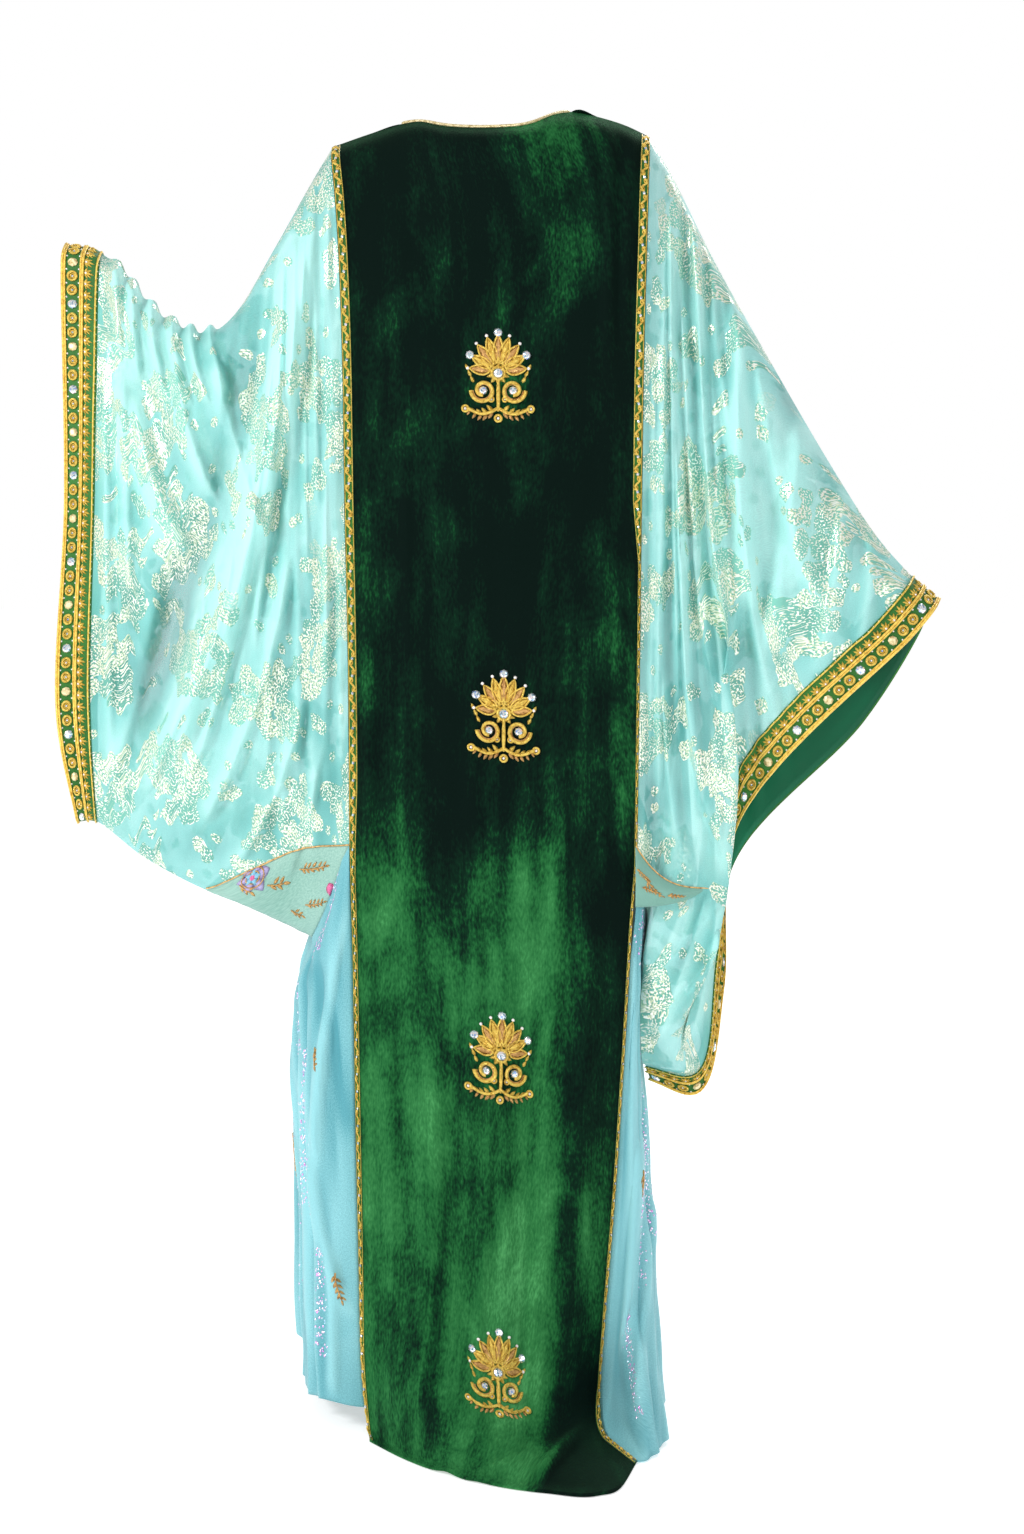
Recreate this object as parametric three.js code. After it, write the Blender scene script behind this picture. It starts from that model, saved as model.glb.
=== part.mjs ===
// Nashal dress: a wide-sleeved ceremonial over-dress with a velvet centre panel and small train.
// Millimetres, +Z up, garment front towards -Y, wearer's left towards +X.
// Origin: midway between the shoulder points, where the wearer's shoulders hold the dress up.
import * as THREE from 'three';

// ---- driving dimensions (mm) ----
const FLOOR_Z = -1391;
const VELVET_THICK = 2.0;
const SHEER_THICK = 1.0;
const SATIN_THICK = 1.2;
const CUFF_THICK = 2.5;
const BRAID_WIDTH = 10;
const BRAID_THICK = 1.6;
const BINDING_RADIUS = 2.2;
const SEAM_GAP = 0.3;
const CUFF_WIDTH = 37;
const FACING_WIDTH = 62;

const ROWS_TO_UNDERARM = 20;
const ROWS_BELOW_UNDERARM = 14;
const SIDE_LEFT_ROWS = 13;
const SLEEVE_COLUMNS = 22;
const GUSSET_COLUMNS = 12;
const NECK_COLUMNS = 10;

const half = (value) => value / 2;
const mix = (a, b, t) => a + (b - a) * t;
const clamp01 = (t) => Math.min(1, Math.max(0, t));
const smooth = (t) => { const k = clamp01(t); return k * k * (3 - 2 * k); };
const bell = (t) => Math.exp(-t * t);
const vec = (x, y, z) => new THREE.Vector3(x, y, z);
const mixPoint = (a, b, t) => a.clone().lerp(b, t);

// value of a named column of a table at a place between its rows
function lookUp(table, key, place, column) {
  if (place <= table[0][key]) return table[0][column];
  for (let i = 1; i < table.length; i++) {
    const low = table[i - 1];
    const high = table[i];
    if (place <= high[key]) {
      const t = (place - low[key]) / (high[key] - low[key]);
      return mix(low[column], high[column], t);
    }
  }
  return table[table.length - 1][column];
}

// smooth curve through points, read by fraction of its length
function lengthCurve(points) {
  const curve = new THREE.CatmullRomCurve3(points, false, 'centripetal');
  curve.arcLengthDivisions = 400;
  const total = curve.getLength();
  return { total, at: (fraction) => curve.getPointAt(clamp01(fraction)) };
}
const tableCurve = (table) => lengthCurve(table.map((row) => vec(row.x, row.y, row.z)));

// rows are closer together on the round of the shoulder
const rowFraction = (i) => Math.pow(i / ROWS_TO_UNDERARM, 1.25);

// ---- velvet panel edges: shoulder to underarm, then underarm to hem ----
const BACK_LEFT_UPPER = [
  { x: 172, y: 0, z: 4 }, { x: 170, y: 40, z: -12 }, { x: 166, y: 68, z: -55 }, { x: 162, y: 81, z: -111 },
  { x: 157, y: 91, z: -219 }, { x: 156, y: 96, z: -380 }, { x: 156, y: 100, z: -560 }, { x: 156, y: 108, z: -756 },
];
const BACK_LEFT_LOWER = [
  { x: 156, y: 108, z: -756 }, { x: 153, y: 113, z: -870 }, { x: 149, y: 130, z: -1088 },
  { x: 146, y: 155, z: -1220 }, { x: 143, y: 180, z: -1320 }, { x: 140, y: 196, z: -1376 },
  { x: 138, y: 206, z: -1388.5 }, { x: 137, y: 222, z: -1390 },
];
const BACK_RIGHT_UPPER = [
  { x: -161, y: 0, z: 15 }, { x: -160, y: 40, z: -2 }, { x: -158, y: 68, z: -48 }, { x: -156, y: 81, z: -111 },
  { x: -153, y: 91, z: -219 }, { x: -152, y: 96, z: -380 }, { x: -153, y: 99, z: -597 }, { x: -152, y: 107, z: -781 },
];
const BACK_RIGHT_LOWER = [
  { x: -152, y: 107, z: -781 }, { x: -149, y: 110, z: -840 }, { x: -141, y: 114, z: -980 },
  { x: -130, y: 122, z: -1145 }, { x: -118, y: 138, z: -1285 }, { x: -112, y: 158, z: -1365 },
  { x: -116, y: 195, z: -1388.5 }, { x: -149, y: 292, z: -1390 },
];
const FRONT_LEFT_UPPER = [
  { x: 172, y: 0, z: 4 }, { x: 170, y: -38, z: -11 }, { x: 166, y: -68, z: -52 }, { x: 162, y: -87, z: -111 },
  { x: 157, y: -101, z: -219 }, { x: 155, y: -105, z: -380 }, { x: 155, y: -107, z: -520 }, { x: 155, y: -109, z: -672 },
];
const FRONT_LEFT_LOWER = [
  { x: 155, y: -109, z: -672 }, { x: 153, y: -113, z: -860 }, { x: 152, y: -122, z: -1080 },
  { x: 150, y: -132, z: -1290 }, { x: 150, y: -137, z: -1384 },
];
const FRONT_RIGHT_UPPER = [
  { x: -161, y: 0, z: 15 }, { x: -160, y: -38, z: 0 }, { x: -158, y: -68, z: -45 }, { x: -156, y: -87, z: -111 },
  { x: -153, y: -101, z: -219 }, { x: -152, y: -105, z: -380 }, { x: -152, y: -107, z: -530 }, { x: -152, y: -109, z: -700 },
];
const FRONT_RIGHT_LOWER = [
  { x: -152, y: -109, z: -700 }, { x: -152, y: -113, z: -860 }, { x: -153, y: -122, z: -1080 },
  { x: -155, y: -132, z: -1290 }, { x: -156, y: -137, z: -1384 },
];
const EDGES = {
  backLeft: [tableCurve(BACK_LEFT_UPPER), tableCurve(BACK_LEFT_LOWER)],
  backRight: [tableCurve(BACK_RIGHT_UPPER), tableCurve(BACK_RIGHT_LOWER)],
  frontLeft: [tableCurve(FRONT_LEFT_UPPER), tableCurve(FRONT_LEFT_LOWER)],
  frontRight: [tableCurve(FRONT_RIGHT_UPPER), tableCurve(FRONT_RIGHT_LOWER)],
};
// the front edge runs a little ahead of the back one, so that the left side panel's last row ends level
const FRONT_AHEAD = 1.04;
const LAST_SIDE_PLACE = SIDE_LEFT_ROWS / ROWS_BELOW_UNDERARM;
function frontReach(place) {
  if (place <= LAST_SIDE_PLACE) return place * FRONT_AHEAD;
  return mix(LAST_SIDE_PLACE * FRONT_AHEAD, 1, (place - LAST_SIDE_PLACE) / (1 - LAST_SIDE_PLACE));
}
// down runs 0..1 from shoulder to underarm and 1..2 from underarm to hem
function edgeAt(edge, down) {
  if (down <= 1) return edge[0].at(down);
  const isFront = edge === EDGES.frontLeft || edge === EDGES.frontRight;
  return edge[1].at(isFront ? frontReach(down - 1) : down - 1);
}

// shoulder line and neckline, as height and depth above the straight line between shoulder points
const SHOULDER_BACK = [
  { across: 0, y: 0, z: 0 }, { across: 0.11, y: 2, z: 13 }, { across: 0.2, y: 8, z: 22 },
  { across: 0.25, y: 17, z: 24 }, { across: 0.33, y: 35, z: 17 }, { across: 0.43, y: 45, z: 13 },
  { across: 0.53, y: 48, z: 12 }, { across: 0.64, y: 45, z: 15 }, { across: 0.715, y: 27, z: 26 },
  { across: 0.77, y: 12, z: 29 }, { across: 0.85, y: 4, z: 23 }, { across: 0.94, y: 0, z: 11 }, { across: 1, y: 0, z: 0 },
];
const SHOULDER_FRONT = [
  { across: 0, y: 0, z: 0 }, { across: 0.11, y: 2, z: 13 }, { across: 0.2, y: 8, z: 22 },
  { across: 0.25, y: 6, z: 21 }, { across: 0.31, y: -24, z: 0 }, { across: 0.4, y: -56, z: -34 },
  { across: 0.51, y: -68, z: -50 }, { across: 0.62, y: -54, z: -32 }, { across: 0.71, y: -18, z: 6 },
  { across: 0.77, y: 12, z: 29 }, { across: 0.85, y: 4, z: 23 }, { across: 0.94, y: 0, z: 11 }, { across: 1, y: 0, z: 0 },
];
const NECK_START = 0.2;
const NECK_END = 0.77;

// how far the middle of each panel stands out past its edges
const BACK_BULGE = [
  { down: 0, out: 0 }, { down: 0.12, out: 10 }, { down: 0.4, out: 14 }, { down: 1, out: 16 },
  { down: 1.4, out: 26 }, { down: 1.7, out: 50 }, { down: 1.86, out: 84 }, { down: 1.94, out: 106 }, { down: 2, out: 122 },
];
const FRONT_BULGE = [
  { down: 0, out: 0 }, { down: 0.12, out: 16 }, { down: 0.35, out: 26 }, { down: 1, out: 24 }, { down: 2, out: 28 },
];
// outline of the train on the floor: share of the full bulge across the panel
const TRAIN_SHAPE = [
  { across: 0, share: 0 }, { across: 0.12, share: 0.36 }, { across: 0.31, share: 0.75 }, { across: 0.5, share: 0.94 },
  { across: 0.66, share: 1 }, { across: 0.85, share: 0.95 }, { across: 0.93, share: 0.72 }, { across: 1, share: 0 },
];
// long soft folds of the back velvet, as ridges (+) and troughs (-)
const BACK_FOLDS = [
  { across: 0.07, width: 0.025, start: 0.55, end: 1.3, height: 5, lean: -0.01 },
  { across: 0.87, width: 0.018, start: 0.02, end: 0.3, height: 4, lean: 0.01 },
  { across: 0.945, width: 0.014, start: 0.02, end: 0.26, height: 3.5, lean: -0.01 },
  { across: 0.3, width: 0.07, start: 1.2, end: 1.95, height: 9, lean: -0.06 },
  { across: 0.62, width: 0.06, start: 1.1, end: 1.95, height: -8, lean: 0.07 },
  { across: 0.84, width: 0.05, start: 1.0, end: 1.9, height: 7, lean: 0.03 },
];
const FRONT_FOLDS = [
  { across: 0.22, width: 0.05, start: 0.6, end: 2, height: 7, lean: -0.05 },
  { across: 0.55, width: 0.06, start: 0.9, end: 2, height: -7, lean: 0.04 },
  { across: 0.8, width: 0.05, start: 0.7, end: 2, height: 6, lean: 0.05 },
];
function panelFold(folds, across, down) {
  let out = 0;
  for (const fold of folds) {
    if (down <= fold.start || down > fold.end + 0.1) continue;
    const along = (down - fold.start) / (fold.end - fold.start);
    const strength = smooth(along * 4) * smooth((1.25 - along) * 3);
    const centre = fold.across + fold.lean * along;
    out += fold.height * strength * bell((across - centre) / fold.width);
  }
  return out * smooth(across * 25) * smooth((1 - across) * 25);
}

function backPanelPoint(across, down) {
  const left = edgeAt(EDGES.backLeft, down);
  const right = edgeAt(EDGES.backRight, down);
  const point = mixPoint(left, right, across);
  const round = 1 - Math.pow(2 * across - 1, 2);
  const train = lookUp(TRAIN_SHAPE, 'across', across, 'share');
  const shape = mix(round, train, smooth((down - 1.75) / 0.25));
  const neck = 1 - smooth(down / 0.2);
  point.y += lookUp(BACK_BULGE, 'down', down, 'out') * shape;
  point.y += lookUp(SHOULDER_BACK, 'across', across, 'y') * neck;
  point.z += lookUp(SHOULDER_BACK, 'across', across, 'z') * neck;
  point.y += panelFold(BACK_FOLDS, across, down) * smooth((1.93 - down) / 0.1);
  point.z = Math.max(point.z, FLOOR_Z + half(VELVET_THICK));
  return point;
}
function frontPanelPoint(across, down) {
  const left = edgeAt(EDGES.frontLeft, down);
  const right = edgeAt(EDGES.frontRight, down);
  const point = mixPoint(left, right, across);
  const neck = 1 - smooth(down / 0.3);
  point.y -= lookUp(FRONT_BULGE, 'down', down, 'out') * (1 - Math.pow(2 * across - 1, 2));
  point.y += lookUp(SHOULDER_FRONT, 'across', across, 'y') * neck;
  point.z += lookUp(SHOULDER_FRONT, 'across', across, 'z') * neck;
  point.y -= panelFold(FRONT_FOLDS, across, down);
  return point;
}

// ---- side panels: underarm seam to hem ----
const SIDES = {
  left: {
    back: EDGES.backLeft, front: EDGES.frontLeft, sign: 1,
    underarm: { x: 207, y: 34, z: -870 },
    outline: [
      { down: 0, x: 207 }, { down: 0.06, x: 223 }, { down: 0.2, x: 226 }, { down: 0.4, x: 223 },
      { down: 0.6, x: 218 }, { down: 0.8, x: 219 }, { down: 1, x: 216 },
    ],
    hem: { z: -1368, backZ: -1352 }, lastRow: SIDE_LEFT_ROWS,
    folds: [
      { around: 0.2, width: 0.06, start: 0.15, end: 1, height: 9, lean: -0.1 },
      { around: 0.42, width: 0.07, start: 0.1, end: 0.75, height: 10, lean: 0.16 },
      { around: 0.7, width: 0.06, start: 0.3, end: 1, height: 8, lean: -0.04 },
    ],
  },
  right: {
    back: EDGES.backRight, front: EDGES.frontRight, sign: -1,
    underarm: { x: -167, y: 62, z: -838 },
    outline: [
      { down: 0, x: -166 }, { down: 0.07, x: -155 }, { down: 0.3, x: -156 }, { down: 0.42, x: -168 },
      { down: 0.7, x: -175 }, { down: 0.9, x: -180 }, { down: 1, x: -184 },
    ],
    hem: { z: -1386, backZ: -1390 }, lastRow: ROWS_BELOW_UNDERARM,
    folds: [
      { around: 0.3, width: 0.06, start: 0.55, end: 1, height: 6, lean: -0.05 },
      { around: 0.72, width: 0.06, start: 0.35, end: 1, height: 7, lean: 0.05 },
    ],
  },
};

// the underarm seam: back velvet edge, down to the underarm point, up to the front velvet edge
function underarmCurves(side) {
  const low = side.underarm;
  const back = edgeAt(side.back, 1);
  const front = edgeAt(side.front, 1);
  const point = vec(low.x, low.y, low.z);
  const backMid = vec(mix(back.x, low.x, 0.62), mix(back.y, low.y, 0.42), mix(back.z, low.z, 0.66));
  const frontMid = vec(mix(front.x, low.x, 0.66), mix(front.y, low.y, 0.42), mix(front.z, low.z, 0.6));
  return { back: lengthCurve([back, backMid, point]), front: lengthCurve([front, frontMid, point]) };
}
for (const side of Object.values(SIDES)) {
  side.seam = underarmCurves(side);
  side.reach = side.lastRow / ROWS_BELOW_UNDERARM;
}

// around runs 0..1 from the back velvet edge to the front velvet edge
function underarmPoint(side, around) {
  if (around <= 0.5) return side.seam.back.at(around * 2);
  return side.seam.front.at((1 - around) * 2);
}
function sidePoint(side, around, down) {
  const top = underarmPoint(side, around);
  const back = edgeAt(side.back, 1 + down);
  const front = edgeAt(side.front, 1 + down);
  const outline = lookUp(side.outline, 'down', down, 'x');
  const swell = Math.pow(Math.sin(Math.PI * around), 0.75);
  const edgeX = mix(back.x, front.x, around);
  const hanging = vec(
    mix(edgeX, outline, swell),
    mix(back.y, front.y, (1 - Math.cos(Math.PI * around)) / 2),
    mix(back.z, front.z, smooth(around * 1.6)),
  );
  const settle = smooth(down / 0.16);
  const point = vec(mix(top.x, hanging.x, settle), mix(top.y, hanging.y, settle), 0);
  // height follows the underarm seam at the top and the hem at the bottom
  const hemZ = around < 0.5
    ? mix(side.hem.backZ, side.hem.z, smooth(around * 2.6))
    : mix(side.hem.z, edgeAt(side.front, 2).z, smooth((around - 0.5) * 2));
  point.z = mix(top.z, hemZ, down / side.reach);
  const nearBack = 1 - smooth(around * 6);
  const nearFront = 1 - smooth((1 - around) * 6);
  point.z = mix(point.z, back.z, nearBack);
  point.z = mix(point.z, front.z, nearFront);
  if (around === 0) return back;
  if (around === 1) return front;
  for (const fold of side.folds) {
    const along = (down - fold.start) / (fold.end - fold.start);
    if (along <= 0 || along > 1.2) continue;
    const strength = smooth(along * 3) * bell((around - fold.around - fold.lean * along) / fold.width);
    point.x += side.sign * fold.height * strength;
  }
  point.z = Math.max(point.z, FLOOR_Z + half(SHEER_THICK) + 0.4);
  return point;
}

// ---- sleeves: hanging loops from the armhole to the cuff ----
const SLEEVES = {
  left: {
    side: SIDES.left, gussetEnd: 0.47, cuffStart: 0.9,
    stations: [
      { along: 0.13, topX: 205, topY: 5, topZ: -36, arm: 48, kneeX: 206, kneeZ: -400, kneeBack: 90, kneeFront: -86,
        lowX: 212, lowZ: -650, lowBack: 84, lowFront: -66, bottomX: 232, bottomY: 24, bottomZ: -859, frontDrop: 0 },
      { along: 0.28, topX: 245, topY: 8, topZ: -106, arm: 46, kneeX: 247, kneeZ: -440, kneeBack: 76, kneeFront: -76,
        lowX: 254, lowZ: -660, lowBack: 64, lowFront: -52, bottomX: 280, bottomY: 14, bottomZ: -839, frontDrop: 0 },
      { along: 0.47, topX: 290, topY: -2, topZ: -177, arm: 44, kneeX: 294, kneeZ: -460, kneeBack: 58, kneeFront: -68,
        lowX: 302, lowZ: -660, lowBack: 46, lowFront: -44, bottomX: 328, bottomY: 0, bottomZ: -822, frontDrop: 0 },
      { along: 0.6, topX: 327, topY: -15, topZ: -199, arm: 44, kneeX: 333, kneeZ: -470, kneeBack: 42, kneeFront: -70,
        lowX: 340, lowZ: -655, lowBack: 34, lowFront: -46, bottomX: 362, bottomY: -8, bottomZ: -807, frontDrop: 0 },
      { along: 0.76, topX: 381, topY: -52, topZ: -177, arm: 42, kneeX: 388, kneeZ: -440, kneeBack: 12, kneeFront: -86,
        lowX: 396, lowZ: -640, lowBack: 12, lowFront: -58, bottomX: 405, bottomY: -20, bottomZ: -784, frontDrop: 0 },
      { along: 0.9, topX: 448, topY: -98, topZ: -107, arm: 38, kneeX: 452, kneeZ: -391, kneeBack: -26, kneeFront: -104,
        lowX: 458, lowZ: -610, lowBack: -10, lowFront: -74, bottomX: 454, bottomY: -31, bottomZ: -748, frontDrop: 0 },
      { along: 1, topX: 494, topY: -120, topZ: -96, arm: 36, kneeX: 487, kneeZ: -385, kneeBack: -38, kneeFront: -114,
        lowX: 497, lowZ: -625, lowBack: -16, lowFront: -80, bottomX: 479, bottomY: -40, bottomZ: -748, frontDrop: 0 },
    ],
    folds: [
      { fromX: 180, fromZ: -30, viaX: 178, viaZ: -240, toX: 174, toZ: -480, width: 7, height: 6 },
      { fromX: 199, fromZ: -50, viaX: 197, viaZ: -230, toX: 192, toZ: -440, width: 8, height: 8 },
      { fromX: 220, fromZ: -70, viaX: 219, viaZ: -280, toX: 220, toZ: -520, width: 10, height: 8 },
      { fromX: 215, fromZ: -110, viaX: 246, viaZ: -440, toX: 385, toZ: -712, width: 24, height: 17 },
      { fromX: 405, fromZ: -262, viaX: 392, viaZ: -380, toX: 332, toZ: -450, width: 22, height: 12 },
      { fromX: 352, fromZ: -400, viaX: 345, viaZ: -520, toX: 420, toZ: -660, width: 24, height: -10 },
    ],
    pleat: { outAt: 0.5, backAt: 0.7, outSpread: 0.1, backSpread: 0.1, out: 0, back: 0, topZ: -400, fullZ: -700 },
  },
  right: {
    side: SIDES.right, gussetEnd: 0.25, cuffStart: 0.9,
    stations: [
      { along: 0.12, topX: -197, topY: 5, topZ: -34, arm: 46, kneeX: -192, kneeZ: -400, kneeBack: 90, kneeFront: -88,
        lowX: -184, lowZ: -650, lowBack: 92, lowFront: -78, bottomX: -177, bottomY: 72, bottomZ: -858, frontDrop: 0 },
      { along: 0.25, topX: -240, topY: 12, topZ: -120, arm: 45, kneeX: -214, kneeZ: -440, kneeBack: 88, kneeFront: -82,
        lowX: -206, lowZ: -710, lowBack: 92, lowFront: -64, bottomX: -172, bottomY: 84, bottomZ: -900, frontDrop: 5 },
      { along: 0.42, topX: -300, topY: 18, topZ: -226, arm: 44, kneeX: -240, kneeZ: -500, kneeBack: 84, kneeFront: -66,
        lowX: -226, lowZ: -770, lowBack: 88, lowFront: -42, bottomX: -167, bottomY: 84, bottomZ: -948, frontDrop: 12,
        footX: -190, footZ: -938, footDepth: 16 },
      { along: 0.6, topX: -365, topY: 22, topZ: -336, arm: 42, kneeX: -256, kneeZ: -570, kneeBack: 74, kneeFront: -48,
        lowX: -231, lowZ: -820, lowBack: 72, lowFront: -22, bottomX: -168, bottomY: 80, bottomZ: -985, frontDrop: 26,
        footX: -204, footZ: -985, footDepth: 20 },
      { along: 0.76, topX: -418, topY: 26, topZ: -418, arm: 40, kneeX: -258, kneeZ: -632, kneeBack: 62, kneeFront: -36,
        lowX: -237, lowZ: -860, lowBack: 56, lowFront: -10, bottomX: -169, bottomY: 74, bottomZ: -1004, frontDrop: 36,
        footX: -216, footZ: -1010, footDepth: 20 },
      { along: 0.9, topX: -460, topY: 30, topZ: -466, arm: 38, kneeX: -264, kneeZ: -686, kneeBack: 54, kneeFront: -28,
        lowX: -245, lowZ: -890, lowBack: 44, lowFront: -4, bottomX: -171, bottomY: 66, bottomZ: -1010, frontDrop: 47,
        footX: -222, footZ: -1018, footDepth: 18 },
      { along: 1, topX: -491, topY: 30, topZ: -494, arm: 36, kneeX: -269, kneeZ: -740, kneeBack: 50, kneeFront: -26,
        lowX: -253, lowZ: -930, lowBack: 40, lowFront: -2, bottomX: -173, bottomY: 58, bottomZ: -1027, frontDrop: 56,
        footX: -224, footZ: -1042, footDepth: 16 },
    ],
    folds: [
      { fromX: -178, fromZ: -60, viaX: -178, viaZ: -260, toX: -176, toZ: -520, width: 7, height: 6 },
      { fromX: -198, fromZ: -80, viaX: -198, viaZ: -260, toX: -198, toZ: -470, width: 8, height: 8 },
      { fromX: -220, fromZ: -120, viaX: -220, viaZ: -280, toX: -222, toZ: -480, width: 10, height: 8 },
      { fromX: -268, fromZ: -190, viaX: -262, viaZ: -330, toX: -258, toZ: -520, width: 18, height: 10 },
      { fromX: -335, fromZ: -300, viaX: -325, viaZ: -400, toX: -300, toZ: -560, width: 22, height: 9 },
    ],
    pleat: { outAt: 0.4, backAt: 0.62, outSpread: 0.11, backSpread: 0.1, out: 35, back: 12, topZ: -400, fullZ: -700 },
  },
};

// one half of a sleeve station, from the top of the arm down to the bottom fold
function stationCurve(row, isBack) {
  const sign = isBack ? 1 : -1;
  const drop = isBack ? 0 : row.frontDrop;
  const kneeY = isBack ? row.kneeBack : row.kneeFront;
  const lowY = isBack ? row.lowBack : row.lowFront;
  const kneeZ = row.kneeZ - drop;
  const lowZ = row.lowZ - drop * 0.4;
  const shift = (row.kneeX - row.topX) / (row.topZ - kneeZ);
  const arm = row.arm;
  const sideX = row.topX + shift * arm * (drop > 0 ? 0.6 : 1);
  // the cloth turns round its bottom fold a little above the fold, or at the foot where one is given
  const tuck = 9;
  const hasFoot = row.footX !== undefined;
  const foot = hasFoot
    ? vec(row.footX, mix(row.bottomY, lowY, 0.4) + sign * row.footDepth * 0.5, row.footZ)
    : vec(mix(row.bottomX, row.lowX, 0.03), row.bottomY + sign * tuck, row.bottomZ + tuck * 1.3);
  return lengthCurve([
    vec(row.topX, row.topY, row.topZ),
    vec(row.topX + shift * arm * 0.3, row.topY + sign * arm * 0.7, row.topZ - arm * 0.3),
    vec(sideX, row.topY + sign * arm, row.topZ - arm),
    ...(drop > 0 ? [vec(mix(sideX, row.kneeX, 0.3), mix(row.topY - arm, kneeY, 0.3),
      mix(row.topZ - arm, kneeZ, 0.3) - drop * 0.4)] : []),
    vec(row.kneeX, kneeY, kneeZ),
    vec(row.lowX, lowY, lowZ),
    foot,
    vec(row.bottomX, row.bottomY, row.bottomZ),
  ]);
}
// the armhole is the first station: velvet edge, then the underarm seam
function armholeHalf(side, isBack) {
  const edge = (isBack ? side.back : side.front)[0];
  const seam = isBack ? side.seam.back : side.seam.front;
  const total = edge.total + seam.total;
  const at = (fraction) => {
    const length = fraction * total;
    return length <= edge.total ? edge.at(length / edge.total) : seam.at((length - edge.total) / seam.total);
  };
  return { total, at, edgeShare: edge.total / total };
}
for (const sleeve of Object.values(SLEEVES)) {
  for (const isBack of [true, false]) {
    const key = isBack ? 'backCurves' : 'frontCurves';
    const armhole = armholeHalf(sleeve.side, isBack);
    sleeve[key] = [{ along: 0, at: armhole.at }];
    sleeve[isBack ? 'backEdgeShare' : 'frontEdgeShare'] = armhole.edgeShare;
    for (const row of sleeve.stations) sleeve[key].push({ along: row.along, at: stationCurve(row, isBack).at });
  }
}

function foldOffset(fold, x, z) {
  let nearest = Infinity;
  let place = 0;
  const steps = 14;
  for (let i = 0; i <= steps; i++) {
    const t = i / steps;
    const bx = (1 - t) * (1 - t) * fold.fromX + 2 * t * (1 - t) * fold.viaX + t * t * fold.toX;
    const bz = (1 - t) * (1 - t) * fold.fromZ + 2 * t * (1 - t) * fold.viaZ + t * t * fold.toZ;
    const distance = Math.hypot(x - bx, z - bz);
    if (distance < nearest) {
      nearest = distance;
      place = t;
    }
  }
  return fold.height * bell(nearest / fold.width) * smooth(place * 6 + 0.15) * smooth((1 - place) * 5 + 0.1);
}

// along runs 0..1 from armhole to cuff edge, fraction 0..1 from the top of the arm to the bottom fold
function sleevePoint(sleeve, isBack, along, fraction) {
  const curves = isBack ? sleeve.backCurves : sleeve.frontCurves;
  let k = 1;
  while (k < curves.length - 1 && along > curves[k].along) k++;
  const from = curves[k - 1];
  const to = curves[k];
  const t = clamp01((along - from.along) / (to.along - from.along));
  const p1 = from.at(fraction);
  const p2 = to.at(fraction);
  const before = curves[Math.max(0, k - 2)];
  const after = curves[Math.min(curves.length - 1, k + 1)];
  const span = to.along - from.along;
  const slope1 = before === from ? p2.clone().sub(p1).divideScalar(span)
    : p2.clone().sub(before.at(fraction)).divideScalar(to.along - before.along);
  const slope2 = after === to ? p2.clone().sub(p1).divideScalar(span)
    : after.at(fraction).sub(p1).divideScalar(after.along - from.along);
  const t2 = t * t;
  const t3 = t2 * t;
  const point = p1.clone().multiplyScalar(2 * t3 - 3 * t2 + 1);
  point.addScaledVector(slope1, (t3 - 2 * t2 + t) * span);
  point.addScaledVector(p2, -2 * t3 + 3 * t2);
  point.addScaledVector(slope2, (t3 - t2) * span);
  const clearOfEdges = smooth(along / 0.05) * smooth((1.02 - along) / 0.16) * smooth(fraction / 0.1)
    * smooth((1 - fraction) / 0.12);
  let push = 0;
  for (const fold of sleeve.folds) push += foldOffset(fold, point.x, point.z);
  point.y += (isBack ? push : -push * 0.8) * clearOfEdges;
  if (isBack && sleeve.pleat.out > 0) {
    const pleat = sleeve.pleat;
    const grow = smooth((pleat.topZ - point.z) / (pleat.topZ - pleat.fullZ)) * smooth((1 - fraction) / 0.22);
    const outward = sleeve.side.sign;
    point.x += outward * grow * pleat.out * bell((along - pleat.outAt) / pleat.outSpread);
    point.x -= outward * grow * pleat.back * bell((along - pleat.backAt) / pleat.backSpread);
  }
  return point;
}

// where the gusset's edge runs on a sleeve half, as a fraction from the top
function gussetEdge(sleeve, isBack, along) {
  const share = isBack ? sleeve.backEdgeShare : sleeve.frontEdgeShare;
  if (along > sleeve.gussetEnd + 1e-6) return 1;
  return mix(share, 0.994, along / sleeve.gussetEnd);
}
// columns of the sleeve: closer near the body, one exactly at the gusset's tip
function sleeveColumns(sleeve) {
  const columns = [];
  for (let j = 0; j <= SLEEVE_COLUMNS; j++) columns.push(sleeve.cuffStart * Math.pow(j / SLEEVE_COLUMNS, 1.2));
  let nearest = 1;
  for (let j = 1; j < SLEEVE_COLUMNS; j++) {
    if (Math.abs(columns[j] - sleeve.gussetEnd) < Math.abs(columns[nearest] - sleeve.gussetEnd)) nearest = j;
  }
  columns[nearest] = sleeve.gussetEnd;
  return { columns, tip: nearest };
}

// ---- closed walls ----
function gridNormals(grid, closedRows) {
  const rows = grid.length;
  const columns = grid[0].length;
  const normals = [];
  for (let i = 0; i < rows; i++) {
    normals.push([]);
    for (let j = 0; j < columns; j++) {
      const up = closedRows ? grid[(i + rows - 1) % rows][j] : grid[Math.max(0, i - 1)][j];
      const low = closedRows ? grid[(i + 1) % rows][j] : grid[Math.min(rows - 1, i + 1)][j];
      const left = grid[i][Math.max(0, j - 1)];
      const right = grid[i][Math.min(columns - 1, j + 1)];
      const normal = right.clone().sub(left).cross(low.clone().sub(up));
      normals[i].push(normal.normalize());
    }
  }
  return normals;
}
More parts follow.
